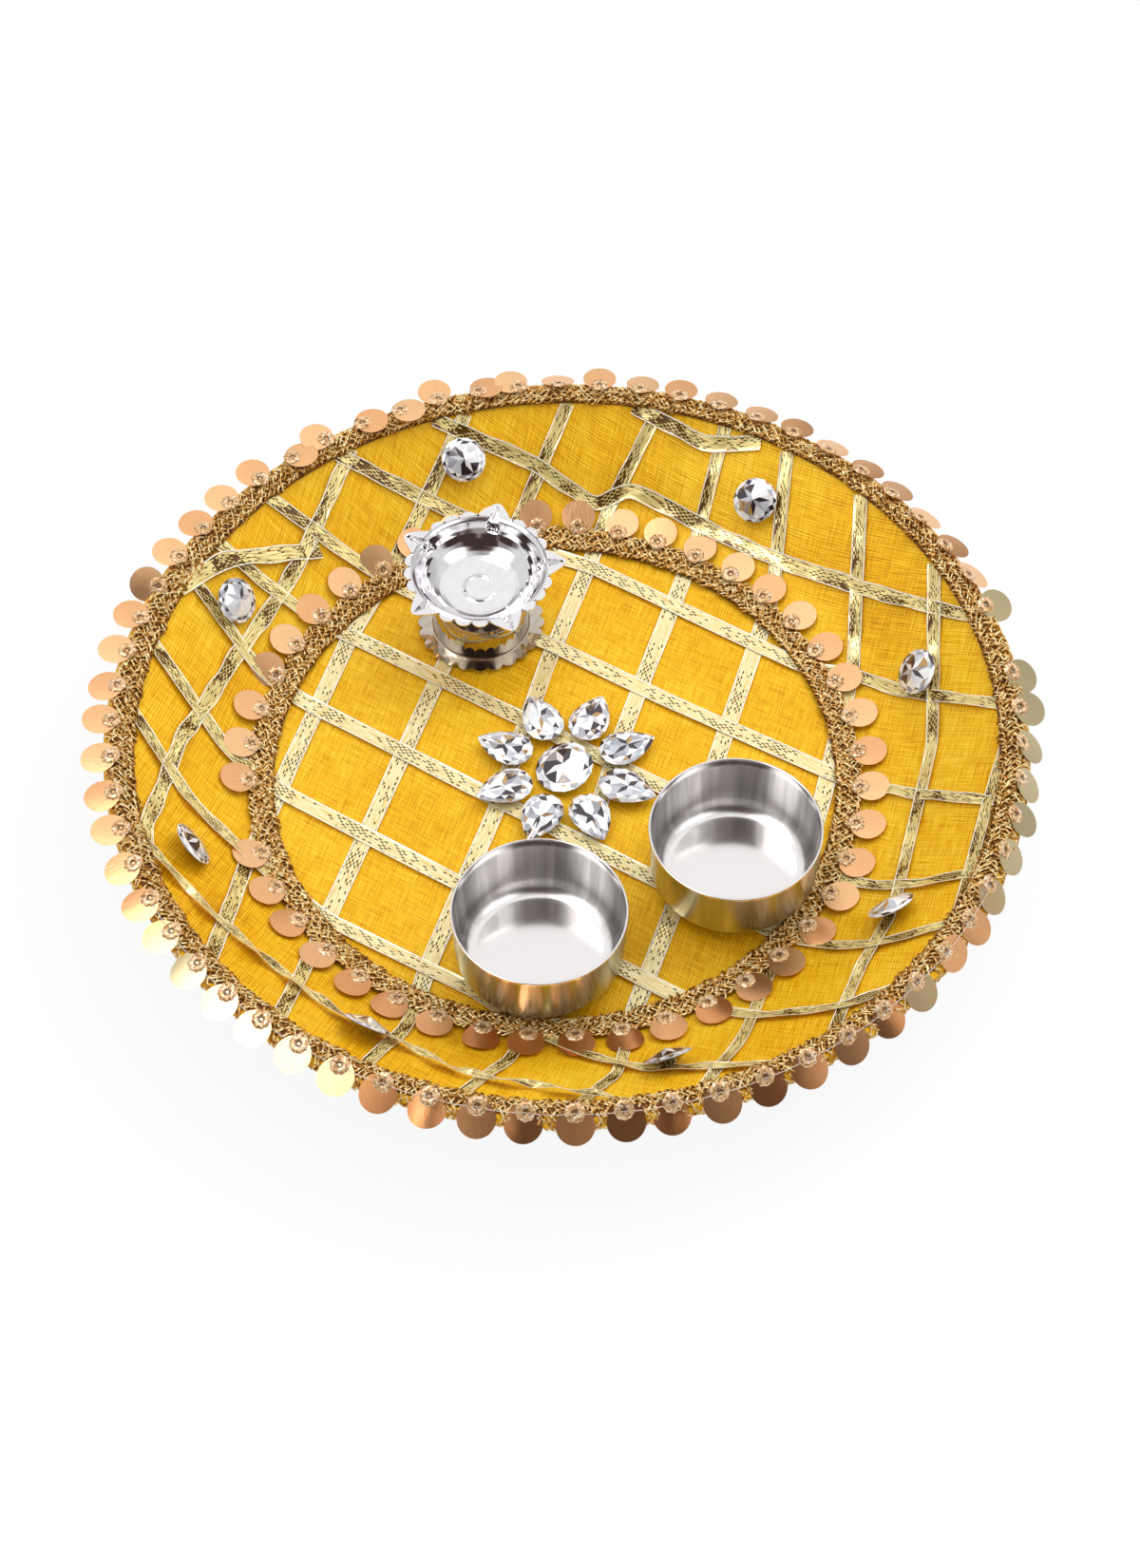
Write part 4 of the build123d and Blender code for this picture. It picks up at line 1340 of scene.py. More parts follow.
@dataclass
class SequinRing:
    """The sequins and glitter rosettes sewn along one braid."""

    name: str
    braid: Braid
    places: int
    first_angle: float
    empty: int
    outer: bool
    radius: float = 5.4
    thickness: float = 0.12
    inset: float = 2.2
    clearance: float = 0.3
    droop_clearance: float = 0.0
    droop: float = 22.0
    right_droop: float = 20.0
    front_droop: float = 12.0
    sway: float = 5.0
    ring_shares: tuple[float, ...] = (0.0, 0.45, 0.8, 1.0)
    columns: int = 29
    curl: float = 0.18
    front_curl: float = 1.5
    yaw: float = 9.0
    yaw_step: float = 2.1
    yaw_phase: float = 0.7
    tone: float = 0.16
    tone_swing: float = 0.14
    tone_phase: float = 0.4
    # Painted reflection: discs in front are painted more copper.
    front_painted_reflection: float = 0.36
    yaws: dict[int, float] = field(default_factory=dict)
    tones: dict[int, float] = field(default_factory=dict)
    facings: dict[int, float] = field(default_factory=dict)
    calm: tuple[int, ...] = ()
    rosette_radius: float = 2.85
    rosette_hole: float = 0.45
    rosette_height: float = 0.5
    rosette_inset: float = 0.3
    rosette_shares: tuple[float, ...] = (0.0, 0.12, 0.35, 0.6, 0.85, 1.0)
    rosette_dark: float = 0.3
    rosette_sharp: float = math.radians(60)
    bumps: int = 9
    bump_rise: float = 0.16
    bump_reach: float = 0.05
    thread_radius: float = 0.13
    thread_sag: Triple = (0.0, -0.3, -0.4)
    thread_points: int = 9
    thread_sides: int = 5
    thread_front: float = -0.45

    def numbers(self) -> Array:
        """The numbers of the sewn places, without the empty one."""
        return np.delete(np.arange(self.places), self.empty)

    def turns(self) -> Array:
        """The turns of the sewn places, clockwise from the back."""
        return math.radians(self.first_angle) - FULL_TURN * self.numbers() / self.places

    def front(self) -> Array:
        """How far in front each sewn place is, from 0 to 1."""
        return np.clip(-np.sin(self.turns()), 0, 1)

    def chosen(self, table: dict[int, float], usual: Array | float) -> Array:
        """A value for each sewn place: the table's where it has one, and the usual one elsewhere."""
        listed = np.array([number in table for number in self.numbers()])
        values = np.array([table.get(int(number), 0.0) for number in self.numbers()])
        return np.where(listed, values, usual)

    def loose(self) -> Array:
        """One for each sewn place that sways and curls, and zero for a calm one, which mirrors the lamp."""
        return 1.0 - np.isin(self.numbers(), self.calm)

    def tilts(self, turn: Array, pivot: Array) -> Array:
        """How far each sequin points up.

        The outer ones droop, most of all in front and on the right. An inner one's tip rests over the wall.

        Args:
            turn: The turns of the places.
            pivot: The points where they are sewn.

        Returns:
            The angles.
        """
        if self.outer:
            droop = self.droop + self.right_droop * np.cos(turn) - self.front_droop * np.sin(turn)
            return np.radians(self.sway * self.loose() * np.sin(GOLDEN_STEP * self.numbers()) - droop)
        reach = 2 * self.radius - self.inset
        tip = PLATE.level(np.hypot(pivot[:, 0], pivot[:, 1]) + reach, PLATE.seat)
        return np.arctan2(tip + self.clearance - pivot[:, 2], reach)

    def frames(self) -> tuple[Array, Array]:
        """The places as frames.

        A place with a facing is turned from its own direction towards the camera by that share.

        Returns:
            The pivots of shape (n, 3), and the axes along, across and square to each disc, (n, 3, 3).
        """
        turn = self.turns()
        width = np.full(len(turn), PLATE.braid_width)
        pivot = self.braid.section(turn, width, np.full(len(turn), PLATE.braid_top))
        pivot[:, 2] += self.clearance + self.droop_clearance * np.clip(np.cos(turn), 0, 1)
        out = np.pad(self.braid.edge.outward(turn, PLATE.braid_width), ((0, 0), (0, 1)))
        tilt = self.tilts(turn, pivot)[:, None]
        along = np.cos(tilt) * out + np.sin(tilt) * UPRIGHT
        square = np.cross(along, np.cross(UPRIGHT, out))
        view = np.array([0.0, -math.cos(CAMERA_ELEVATION), math.sin(CAMERA_ELEVATION)])
        facing = self.chosen(self.facings, 0.0)[:, None]
        square = unit((1 - facing) * square + facing * view)
        along = unit(along - np.sum(along * square, axis=1, keepdims=True) * square)
        return pivot, np.stack([along, np.cross(square, along), square], axis=1)

    def discs(self) -> Array:
        """The discs in their own frames: rings of points that curl down to both sides.

        Returns:
            Points of shape (n, rings, columns, 3).
        """
        number = np.arange(self.places - 1)
        ring = self.radius * np.array(self.ring_shares)[:, None]
        turn = np.linspace(0, FULL_TURN, self.columns)
        x, y = ring * np.cos(turn), ring * np.sin(turn)
        front = self.loose() * self.front()
        curl = self.curl + self.front_curl * front**2 * np.clip(np.sin(GOLDEN_STEP * number + 1), 0, 1)
        level = -curl[:, None, None] * (y / self.radius) ** 2
        usual = self.yaw * np.sin(self.yaw_step * number + self.yaw_phase)
        yaw = np.radians(self.chosen(self.yaws, usual))[:, None, None]
        x, y = x * np.cos(yaw) - y * np.sin(yaw), x * np.sin(yaw) + y * np.cos(yaw)
        root = self.radius - self.inset
        return np.stack([x + root * np.cos(yaw), y + root * np.sin(yaw), level + self.thickness], axis=-1)

    def rings(self) -> tuple[Array, Array]:
        """The rosettes in their own frames: a round mound with bumps and a sunk middle.

        Returns:
            Points of shape (rings, columns, 3), and their tones.
        """
        share = np.array(self.rosette_shares)[:, None]
        radius = self.rosette_hole + (self.rosette_radius - self.rosette_hole) * share
        turn = np.linspace(0, FULL_TURN, 2 * self.bumps + 1)
        mound = np.sqrt(np.clip(1 - (2 * share - 1) ** 2, 0, 1))
        height = self.rosette_height * mound * (1 + self.bump_rise * np.cos(self.bumps * turn))
        wobble = radius * (1 + self.bump_reach * share * np.cos(self.bumps * turn))
        x = wobble * np.cos(turn) - self.rosette_inset
        points = np.stack([x, wobble * np.sin(turn), height + self.thickness], axis=-1)
        return points, eased(share, 0.0, self.rosette_dark)

    def set_out(self, local: Array, pivot: Array, axes: Array) -> Array:
        """Local points carried to every place: pivot plus coordinates times axes."""
        return pivot[:, None, None, :] + np.einsum("nrck,nkd->nrcd", local, axes)

    def thread(self, pivot: Array, axes: Array) -> None:
        """Makes the clear thread that runs between the front rosettes in low sagging arcs.

        Args:
            pivot: The points where the sequins are sewn.
            axes: The axes along, across and square to each disc.
        """
        front = np.flatnonzero(np.sin(self.turns()) < self.thread_front)
        spots = pivot[front] + (self.thickness + self.rosette_height) * axes[front, 2]
        share = np.linspace(0, 1, self.thread_points)[None, :, None]
        sag = np.sin(math.pi * share) * np.array(self.thread_sag)
        lines = spots[:-1, None] * (1 - share) + spots[1:, None] * share + sag
        lines = lines.reshape(-1, 3)
        moved = np.linalg.norm(np.diff(lines, axis=0), axis=1) > 1e-4
        lines = lines[np.concatenate([[True], moved])]
        rings = tubes(lines, np.broadcast_to(UPRIGHT, lines.shape), self.thread_radius, self.thread_sides)
        Surface().grid(rings).piece("rim_sewing_thread", Body.THALI, Slot.SEQUIN, [NylonThread().make()])

    def build(self, film: Material, glitter: Material) -> None:
        """Makes the sequins and rosettes of the braid.

        Args:
            film: The sequins' finish.
            glitter: The rosettes' finish.
        """
        pivot, axes = self.frames()
        local = self.discs()
        swing = self.tone_swing * np.sin(GOLDEN_STEP * np.arange(len(pivot)) + self.tone_phase)
        # Painted reflection: each disc's tone, copper in front and set one by one in the table, with a small
        # random swing.
        tone = self.chosen(self.tones, self.tone + swing + self.front_painted_reflection * self.front() ** 2)
        Surface().grid(self.set_out(local, pivot, axes), local[..., :2], tone[:, None, None]).piece(
            f"{self.name}_sequin_discs", Body.THALI, Slot.SEQUIN, [film], (f"{self.name}_sequins",),
            thickness=self.thickness,
        )
        mound, shade = self.rings()
        mounds = np.broadcast_to(mound, (len(pivot), *mound.shape))
        Surface().grid(self.set_out(mounds, pivot, axes), tone=shade).piece(
            f"{self.name}_glitter_rosettes", Body.THALI, Slot.GLITTER, [glitter],
            (f"{self.name}_rosettes",), crease=self.rosette_sharp,
        )
        if self.outer:
            self.thread(pivot, axes)


OUTER_YAWS = {57: -115.0, 58: 45.0, 59: -105.0, 60: -125.0, 62: -70.0, 63: 45.0, 23: 40.0, 21: -35.0}
# Painted reflections of the outer discs: 1 paints khaki-grey where a disc mirrors the dark side of the room,
# 0 the palest peach where a disc catches the lamp.
OUTER_PAINTED_REFLECTIONS = {
    13: 1.0, 15: 1.0, 16: 1.0, 17: 0.95, 18: 1.0, 19: 1.0, 20: 0.9, 21: 0.8, 24: 0.8,
    37: 0.0, 38: 0.0, 39: 0.0, 40: 0.0, 41: 1.0,
}
OUTER_CALM = (37, 38, 39, 40)
OUTER_FACINGS = {0: -0.55, 52: 1.0, 13: 0.5, 15: 0.45, 16: 0.4}
INNER_FACINGS = {0: 0.85, 1: 0.8, 2: -0.25, 4: -0.2, 36: 0.75, 40: 0.85}


class Outline(Enum):
    """The outlines that crystals are cut to."""

    ROUND = "round"
    PEAR = "pear"


@dataclass(frozen=True)
class GemCut:
    """A cut crystal: a round one has a pointed front, a pear a flat table, and both backs run to a point."""

    outline: Outline
    half_length: float
    half_width: float
    seed: int
    taper: float = 0.7
    corners: int = 16
    girdle: float = 2.2
    band: float = 0.25
    crown: float = 0.9
    table_share: float = 0.64
    star_share: float = 0.85
    star_level: float = 0.6
    table_level: float = 1.0
    heart_share: float = 0.42
    crown_skew: float = 0.95
    heart_skew: float = 1.3
    fold_share: float = 0.55
    fold_level: float = 1.3
    culet: float = 0.1
    band_painted_reflection: float = 0.42

    def pear_width(self, turn: Array) -> Array:
        """A pear's width at turns from its point: sin t times a power of sin(t / 2)."""
        return np.sin(turn) * np.abs(np.sin(turn / 2)) ** self.taper

    def rim(self, offset: float, share: float, level: float, count: int | None = None) -> Array:
        """One ring of corners.

        A round crystal's ring is a circle. A pear's is length times cos t by its width at t, scaled so
        that the widest place is the full width.

        Args:
            offset: The first corner, in steps from the point.
            share: The ring's share of the outline.
            level: Its height.
            count: The number of corners, if not the full number.

        Returns:
            Points of shape (count, 3).
        """
        count = count or self.corners
        turn = FULL_TURN * (np.arange(count) + offset) / count
        across = np.sin(turn)
        if self.outline is Outline.PEAR:
            across = self.pear_width(turn) / np.max(self.pear_width(np.linspace(0, FULL_TURN, 721)))
        x, y = self.half_length * np.cos(turn), self.half_width * across
        return np.stack([share * x, share * y, np.full(count, level)], axis=-1)

    def heart(self, rim: Array, level: float) -> tuple[Array, Array, Array]:
        """The facets inside a rim: rhombs that meet in the middle, with kites between their points.

        A rhomb's inner corners lie at cos(half a step) of the way down from the middle to its point,
        so that a pointed front has flat rhombs.

        Args:
            rim: The rim's corners.
            level: The height of the middle.

        Returns:
            The points, the triangles and the number of the facet that each triangle is in.
        """
        count, half = self.corners, self.corners // 2
        fall = self.heart_share * math.cos(math.pi / half) * (level - rim[0, 2])
        inner = self.rim(0, self.heart_share * rim[0, 0] / self.half_length, level - fall, half)
        middle = np.array([[0.0, 0.0, level]])
        small = np.arange(half)
        after = (small + 1) % half
        even, odd, following = 2 * small, 2 * small + 1, (2 * small + 2) % count
        tip = np.full(half, count + half)
        triangles = np.concatenate([
            np.stack([count + small, odd, count + after], 1),
            np.stack([count + small, count + after, tip], 1),
            np.stack([even, odd, count + small], 1),
            np.stack([odd, following, count + after], 1),
        ])
        facet = np.concatenate([small, small, half + small, half + after])
        return np.concatenate([rim, inner, middle]), triangles, facet

    def crown_facets(self, high: Array, table: Array) -> tuple[Array, Array]:
        """The facets from the girdle up to a table: two rings of triangles over a ring of star corners.

        Args:
            high: The girdle's upper corners.
            table: The table's corners.

        Returns:
            The points and the triangles.
        """
        count = self.corners
        star = self.rim(0.5, self.star_share, high[0, 2] + self.star_level * self.crown)
        at = np.arange(count)
        after = (at + 1) % count
        triangles = np.concatenate([
            np.stack([at, after, count + at], 1),
            np.stack([after, count + after, count + at], 1),
            np.stack([count + at, 2 * count + after, 2 * count + at], 1),
            np.stack([count + at, count + after, 2 * count + after], 1),
        ])
        return np.concatenate([high, star, table]), triangles

    def back(self, low: Array) -> tuple[Array, Array]:
        """The facets of the back: from the girdle over a fold of half as many corners to the point.

        Args:
            low: The girdle's lower corners.

        Returns:
            The points and the triangles.
        """
        count, half = self.corners, self.corners // 2
        fold = self.rim(0, self.fold_share, self.fold_level, half)
        tip = np.array([[0.0, 0.0, self.culet]])
        small = np.arange(half)
        even, after = 2 * small, (small + 1) % half
        triangles = np.concatenate([
            np.stack([even + 1, even, count + small], 1),
            np.stack([even + 1, count + small, count + after], 1),
            np.stack([(even + 2) % count, even + 1, count + after], 1),
            np.stack([count + after, count + small, np.full(half, count + half)], 1),
        ])
        return np.concatenate([low, fold, tip]), triangles

    def add(self, surface: Surface, origin: Array, axes: Array) -> None:
        """Adds the crystal's facets: the front in slot 0, each facet with its painted reflection, and the
        foiled back in slot 1.

        Args:
            surface: The mesh that takes them.
            origin: The place of its back.
            axes: Its own axes as rows.
        """
        draw = np.random.default_rng(self.seed)
        count = self.corners
        top = self.girdle + self.band
        low, high = self.rim(0, 1, self.girdle), self.rim(0, 1, top)
        at = np.arange(count)
        after = (at + 1) % count
        band = [np.stack([at, after, count + after], 1), np.stack([at, count + after, count + at], 1)]
        points = np.concatenate([low, high])
        # Painted reflections: the band takes one pale shade, and each crown and heart facet a random one from
        # plum to white.
        surface.facets(origin + points @ axes, np.concatenate(band), self.band_painted_reflection)
        rim = self.rim(0, self.table_share, top + self.table_level * self.crown)
        points, triangles = self.crown_facets(high, rim)
        surface.facets(origin + points @ axes, triangles, draw.random(len(triangles)) ** self.crown_skew)
        points, triangles, facet = self.heart(rim, top + self.crown)
        surface.facets(origin + points @ axes, triangles, draw.random(count)[facet] ** self.heart_skew)
        points, triangles = self.back(low)
        surface.facets(origin + points @ axes, triangles, slot=1)


POINTED_FRONT = {
    "table_share": 0.72, "table_level": 0.3, "star_share": 0.87, "star_level": 0.18, "crown_skew": 1.1,
}


@dataclass
class Crystals:
    """The flower of crystals on the base and the eight crystals on the wall."""

    finishes: list[Material] = field(default_factory=list)
    petal_length: float = 18.0
    petal_width: float = 12.4
    petal_tip: float = 29.4
    petals: int = 8
    petal_seed: int = 20
    first_petal: float = math.radians(22.5)
    centre_radius: float = 9.0
    centre_up: Triple = (-0.22, -0.05, 0.97)
    centre_crown: float = 2.0
    centre_seed: int = 3
    wall_radius: float = 7.2
    wall_girdle: float = 3.1
    wall_crown: float = 2.1
    wall_fold: float = 1.8
    wall_seed: int = 40
    wall_rows: tuple[tuple[float, float, float, float], ...] = (
        (106.6, 0.706, 0.0, 0.0),
        (57.6, 0.656, 3.0, 0.0),
        (152.8, 0.700, 15.0, 0.0),
        (14.1, 0.634, 13.0, 0.0),
        (-160.0, 0.723, 23.0, -3.0),
        (-32.4, 0.609, 9.0, 15.0),
        (-119.0, 0.676, 21.0, 0.0),
        (-75.5, 0.664, 19.5, -6.0),
    )

    def piece(self, cut: GemCut, node: str, origin: Array, axes: Array) -> None:
        """Makes one crystal in place of its node.

        Args:
            cut: How it is cut.
            node: The node's name.
            origin: The place of its back.
            axes: Its own axes as rows.
        """
        surface = Surface()
        cut.add(surface, origin, axes)
        surface.piece("cut_" + node, Body.THALI, Slot.CRYSTAL, self.finishes, (node,), crease=None)

    def flower(self) -> None:
        """Makes the leaning centre and the petals round it."""
        sizes = {"crown": self.centre_crown, **POINTED_FRONT}
        centre = GemCut(Outline.ROUND, self.centre_radius, self.centre_radius, self.centre_seed, **sizes)
        seat = PLATE.seat * UPRIGHT
        up = unit(np.array(self.centre_up))
        across = unit(np.cross(up, [1.0, 0.0, 0.0]))
        self.piece(centre, "flower_centre", seat, np.array([np.cross(across, up), across, up]))
        half_length, half_width = self.petal_length / 2, self.petal_width / 2
        for number in range(self.petals):
            out, side = spoke(self.first_petal + FULL_TURN * number / self.petals)
            petal = GemCut(Outline.PEAR, half_length, half_width, self.petal_seed + number)
            origin = (self.petal_tip - half_length) * out + seat
            self.piece(petal, f"flower_petal_{number + 1}", origin, np.array([out, side, UPRIGHT]))

    def wall(self) -> None:
        """Makes the crystals on the wall.

        A row is the crystal's angle, its share of the way between the braids, how far it leans in and how
        far it rolls to its left.
        """
        sizes = {"girdle": self.wall_girdle, "crown": self.wall_crown, "fold_level": self.wall_fold}
        sizes.update(POINTED_FRONT)
        for number, (angle, share, tip, roll) in enumerate(self.wall_rows, 1):
            cut = GemCut(Outline.ROUND, self.wall_radius, self.wall_radius, self.wall_seed + number, **sizes)
            turn = math.radians(angle)
            inner = INNER_EDGE.reach(turn, PLATE.braid_width)
            radius = inner + share * (OUTER_EDGE_RADIUS - inner)
            away, side = spoke(turn)
            plan = radius * away[:2]
            hollow = self.wall_radius**2 * math.sin(PLATE.wall_angle) / (2 * radius)
            square = PLATE.normal(plan)
            out = np.cross(side, square)
            up = unit(square - math.tan(math.radians(tip)) * out + math.tan(math.radians(roll)) * side)
            slope = unit(np.cross(side, up))
            origin = PLATE.lifted(plan, PLATE.seat + hollow)
            self.piece(cut, f"wall_crystal_{number}", origin, np.array([slope, np.cross(up, slope), up]))

    def build(self) -> None:
        """Makes the flower, then the crystals on the wall."""
        finish = FoiledCrystal()
        self.finishes = [finish.facets(), finish.foil()]
        self.flower()
        self.wall()


@dataclass
class SteelBowl:
    """A pressed steel bowl that leans a little where its heel rides on the inner braid."""

    body: Body
    angle: float
    rim_radius: float = 25.5
    height: float = 22.6
    heel_radius: float = 6.0
    wall_angle: float = math.radians(87)
    sheet: float = 0.7
    lip_share: float = 0.42
    foot_gap: float = 3.0
    clearance: float = 0.3
    ring_height: float = 0.3
    ring_width: float = 0.45
    columns: int = 193
    arc_points: int = 12
    step: float = 1.4

    @property
    def base_radius(self) -> float:
        """The radius of the flat foot."""
        rise = self.height - self.heel_radius * (1 - math.cos(self.wall_angle))
        heel = self.heel_radius * math.sin(self.wall_angle)
        return self.rim_radius - heel - rise / math.tan(self.wall_angle)

    def profile(self) -> Array:
        """The bowl's section: along the floor, up inside, over the rolled rim and down outside.

        Returns:
            Radius and height, from the axis to the axis.
        """
        foot = self.base_radius + self.heel_radius * math.tan(self.wall_angle / 2)
        lip = self.sheet / math.sin(self.wall_angle)
        inner_foot = foot - self.sheet * math.tan(self.wall_angle / 2)
        corners = [
            (0.0, self.sheet, 0.0),
            (inner_foot, self.sheet, self.heel_radius - self.sheet),
            (self.rim_radius - lip, self.height, self.sheet * self.lip_share),
            (self.rim_radius, self.height, self.sheet * self.lip_share),
            (foot, 0.0, self.heel_radius),
            (0.0, 0.0, 0.0),
        ]
        line = refined(rounded(corners, self.arc_points), self.step)
        inside = np.arange(len(line)) < np.argmax(line[:, 1])
        off_ring = (line[:, 1] - self.heel_radius) / self.ring_width
        line[:, 0] -= np.where(inside, self.ring_height * np.exp(-(off_ring**2)), 0)
        return line

    def build(self) -> None:
        """Makes the bowl on its foot's place, with its lean."""
        turn = math.radians(self.angle)
        edge = INNER_EDGE.reach(turn)
        orbit = edge - self.foot_gap - self.base_radius
        heel_rise = self.heel_radius - math.sqrt(self.heel_radius**2 - self.foot_gap**2)
        braid_level = float(PLATE.level(np.array(edge), PLATE.braid_top))
        lean = math.atan2(max(0.0, braid_level - PLATE.seat - heel_rise), edge - orbit + self.base_radius)
        out, side = spoke(turn)
        rise, run = math.sin(lean), math.cos(lean)
        axes = np.array([run * out + rise * UPRIGHT, side, run * UPRIGHT - rise * out])
        inner_foot = (orbit - self.base_radius) * out + (PLATE.seat + self.clearance) * UPRIGHT
        profile = self.profile()
        placed = inner_foot + (lathe(profile, self.columns) + [self.base_radius, 0, 0]) @ axes
        around = np.linspace(0, FULL_TURN * self.rim_radius, self.columns)
        uv = np.stack(np.broadcast_arrays(around, lengths(profile)[:, None]), axis=-1)
        node = self.body.value
        finish = SpunSteel("spun_steel_" + node).make()
        Surface().grid(placed, uv).piece("spun_" + node, self.body, Slot.BOWL, [finish], (node,))


@dataclass
class StarDiya:
    """The lamp: a star-rimmed dish with five wick channels, on a domed and scalloped foot."""

    dish_shades: Stops = ((0.2, "E8E6E8"), (0.8, "F4F2F4"))
    # Painted shade and reflection: the foot's darker brownish steel.
    foot_painted_shades: Stops = ((0.2, "B6AB9C"), (0.8, "CFC6BA"))
    angle: float = math.radians(114.8)
    foot_gap: float = 5.0
    sheet: float = 0.5
    columns: int = 541
    rim_radius: float = 20.0
    rim_width: float = 1.9
    depth: float = 10.5
    floor_radius: float = 15.4
    floor_bend: float = 12.5
    rim_roll: float = 0.9
    dish_arc_points: int = 9
    dish_step: float = 0.4
    star_rows: int = 14
    ring_radius: float = 5.0
    ring_height: float = 0.5
    ring_width: float = 0.5
    ring_gap: float = math.radians(12)
    ring_ends: Pair = (0.55, 0.8)
    tips: int = 5
    first_tip: float = math.radians(6)
    tip_radius: float = 30.3
    tip_base: float = 18.4
    tip_half_width: float = 7.2
    tip_blunt: float = 0.07
    scallops: int = 3
    scallop_step: float = math.radians(14)
    scallop_radius: float = 2.7
    scallop_reach: float = 23.4
    wick_width: float = 2.4
    wick_depth_share: float = 1.9
    wick_start: float = 17.5
    wick_end: float = 27.0
    wick_edge: Pair = (-2.2, -0.2)
    bead_height: float = 0.35
    bead_radius: float = 20.9
    bead_width: float = 0.4
    foot_height: float = 16.4
    foot_radius: float = 15.2
    foot_slope: float = 1.0
    foot_bend: float = 9.0
    foot_roll: float = 0.6
    foot_arc_points: int = 12
    foot_step: float = 1.3
    flange_start: float = 1.4
    flange_rows: int = 7
    flange_radius: float = 20.0
    flange_scallops: int = 24
    flange_scallop_radius: float = 2.5
    flute: float = 0.1

    def origin(self) -> Array:
        """The centre of the foot, on the ribbons."""
        orbit = INNER_EDGE.reach(self.angle) - self.foot_gap - self.flange_radius
        return orbit * spoke(self.angle)[0] + PLATE.seat * UPRIGHT

    def circle_reach(self, turn: Array, centre: float, radius: float) -> Array:
        """How far a circle with its centre out on the axis reaches at turns.

        The reach is c cos t + sqrt(r^2 - c^2 sin^2 t), and zero where the circle isn't met.

        Args:
            turn: Turns from the circle's centre.
            centre: How far out the centre lies.
            radius: The circle's radius.

        Returns:
            The reach at each turn.
        """
        inside = radius**2 - (centre * np.sin(turn)) ** 2
        hit = (inside > 0) & (np.cos(turn) > 0)
        return np.where(hit, centre * np.cos(turn) + np.sqrt(np.maximum(inside, 0)), 0.0)

    def nearest(self, turn: Array, count: int, first: float = 0.0) -> Array:
        """Turns counted from the nearest of evenly spaced places."""
        pitch = FULL_TURN / count
        return (turn - first + pitch / 2) % pitch - pitch / 2

    def star_reach(self, turn: Array) -> Array:
        """The star's outline: the furthest of a circle, three scallops and a tip's two straight sides.

        Args:
            turn: Turns about the dish.

        Returns:
            The reach at each turn.
        """
        near = self.nearest(turn, self.tips, self.first_tip)
        side = unit(np.array([self.tip_half_width, self.tip_radius - self.tip_base]))
        blunt = np.sqrt(np.sin(near) ** 2 + self.tip_blunt**2)
        reach = self.tip_radius * side[0] / (side[0] * np.cos(near) + side[1] * blunt)
        centre = self.scallop_reach - self.scallop_radius
        reach = np.maximum(reach, centre)
        middle = np.abs(near) - math.pi / self.tips
        for number in range(self.scallops):
            place = middle - (number - (self.scallops - 1) / 2) * self.scallop_step
            reach = np.maximum(reach, self.circle_reach(place, centre, self.scallop_radius))
        return reach

    def flanged(self, line: Array, reach: Array, share: Array, level: Array | float) -> tuple[Array, Array]:
        """A turned section that runs on in steps, out to an outline.

        Args:
            line: Radius and height of the section.
            reach: The outline's reach at each turn.
            share: The added rows' shares of the way from the section's end to the outline.
            level: The added rows' heights.

        Returns:
            The radii and the heights, of shape (rows, columns).
        """
        start = line[-1, 0]
        turned, added = (len(line), self.columns), (len(share), self.columns)
        radius = [np.broadcast_to(line[:, :1], turned), start + share * (reach - start)]
        height = [np.broadcast_to(line[:, 1:], turned), np.broadcast_to(level, added)]
        return np.concatenate(radius), np.concatenate(height)

    def dish(self) -> Array:
        """The dish: a round bowl out to the rim, then the star flange with its pressed channels.

        A channel lowers the flange by its half width times a round section, and narrows towards the tip.

        Returns:
            Points of shape (rows, columns, 3), the underside of the floor at zero.
        """
        turn = np.linspace(0, FULL_TURN, self.columns)
        corners = [
            (0.0, self.sheet, 0.0),
            (self.floor_radius, self.sheet, self.floor_bend),
            (self.rim_radius, self.depth, self.rim_roll),
            (self.rim_radius + self.rim_width, self.depth, 0.0),
        ]
        bowl = refined(rounded(corners, self.dish_arc_points), self.dish_step)
        off_bead = (bowl[:, 0] - self.bead_radius) / self.bead_width
        bowl[:, 1] += self.bead_height * np.exp(-(off_bead**2))
        share = np.linspace(0, 1, self.star_rows + 1)[1:, None]
        radius, level = self.flanged(bowl, self.star_reach(turn), share, self.depth)
        off_gap = np.abs((turn - self.ring_gap + math.pi) % FULL_TURN - math.pi)
        off_ring = (radius - self.ring_radius) / self.ring_width
        level = level + self.ring_height * np.exp(-(off_ring**2)) * eased(off_gap, *self.ring_ends)
        off = radius * np.sin(self.nearest(turn, self.tips, self.first_tip))
        taper = np.clip((self.wick_end - radius) / (self.wick_end - self.wick_start), 0, 1)
        half = np.maximum(self.wick_width * taper, TINY)
        section = np.sqrt(np.clip(1 - (off / half) ** 2, 0, 1))
        inward = eased(radius - self.rim_radius, *self.wick_edge)
        return ringed(radius, turn, level - self.wick_depth_share * half * section * inward)

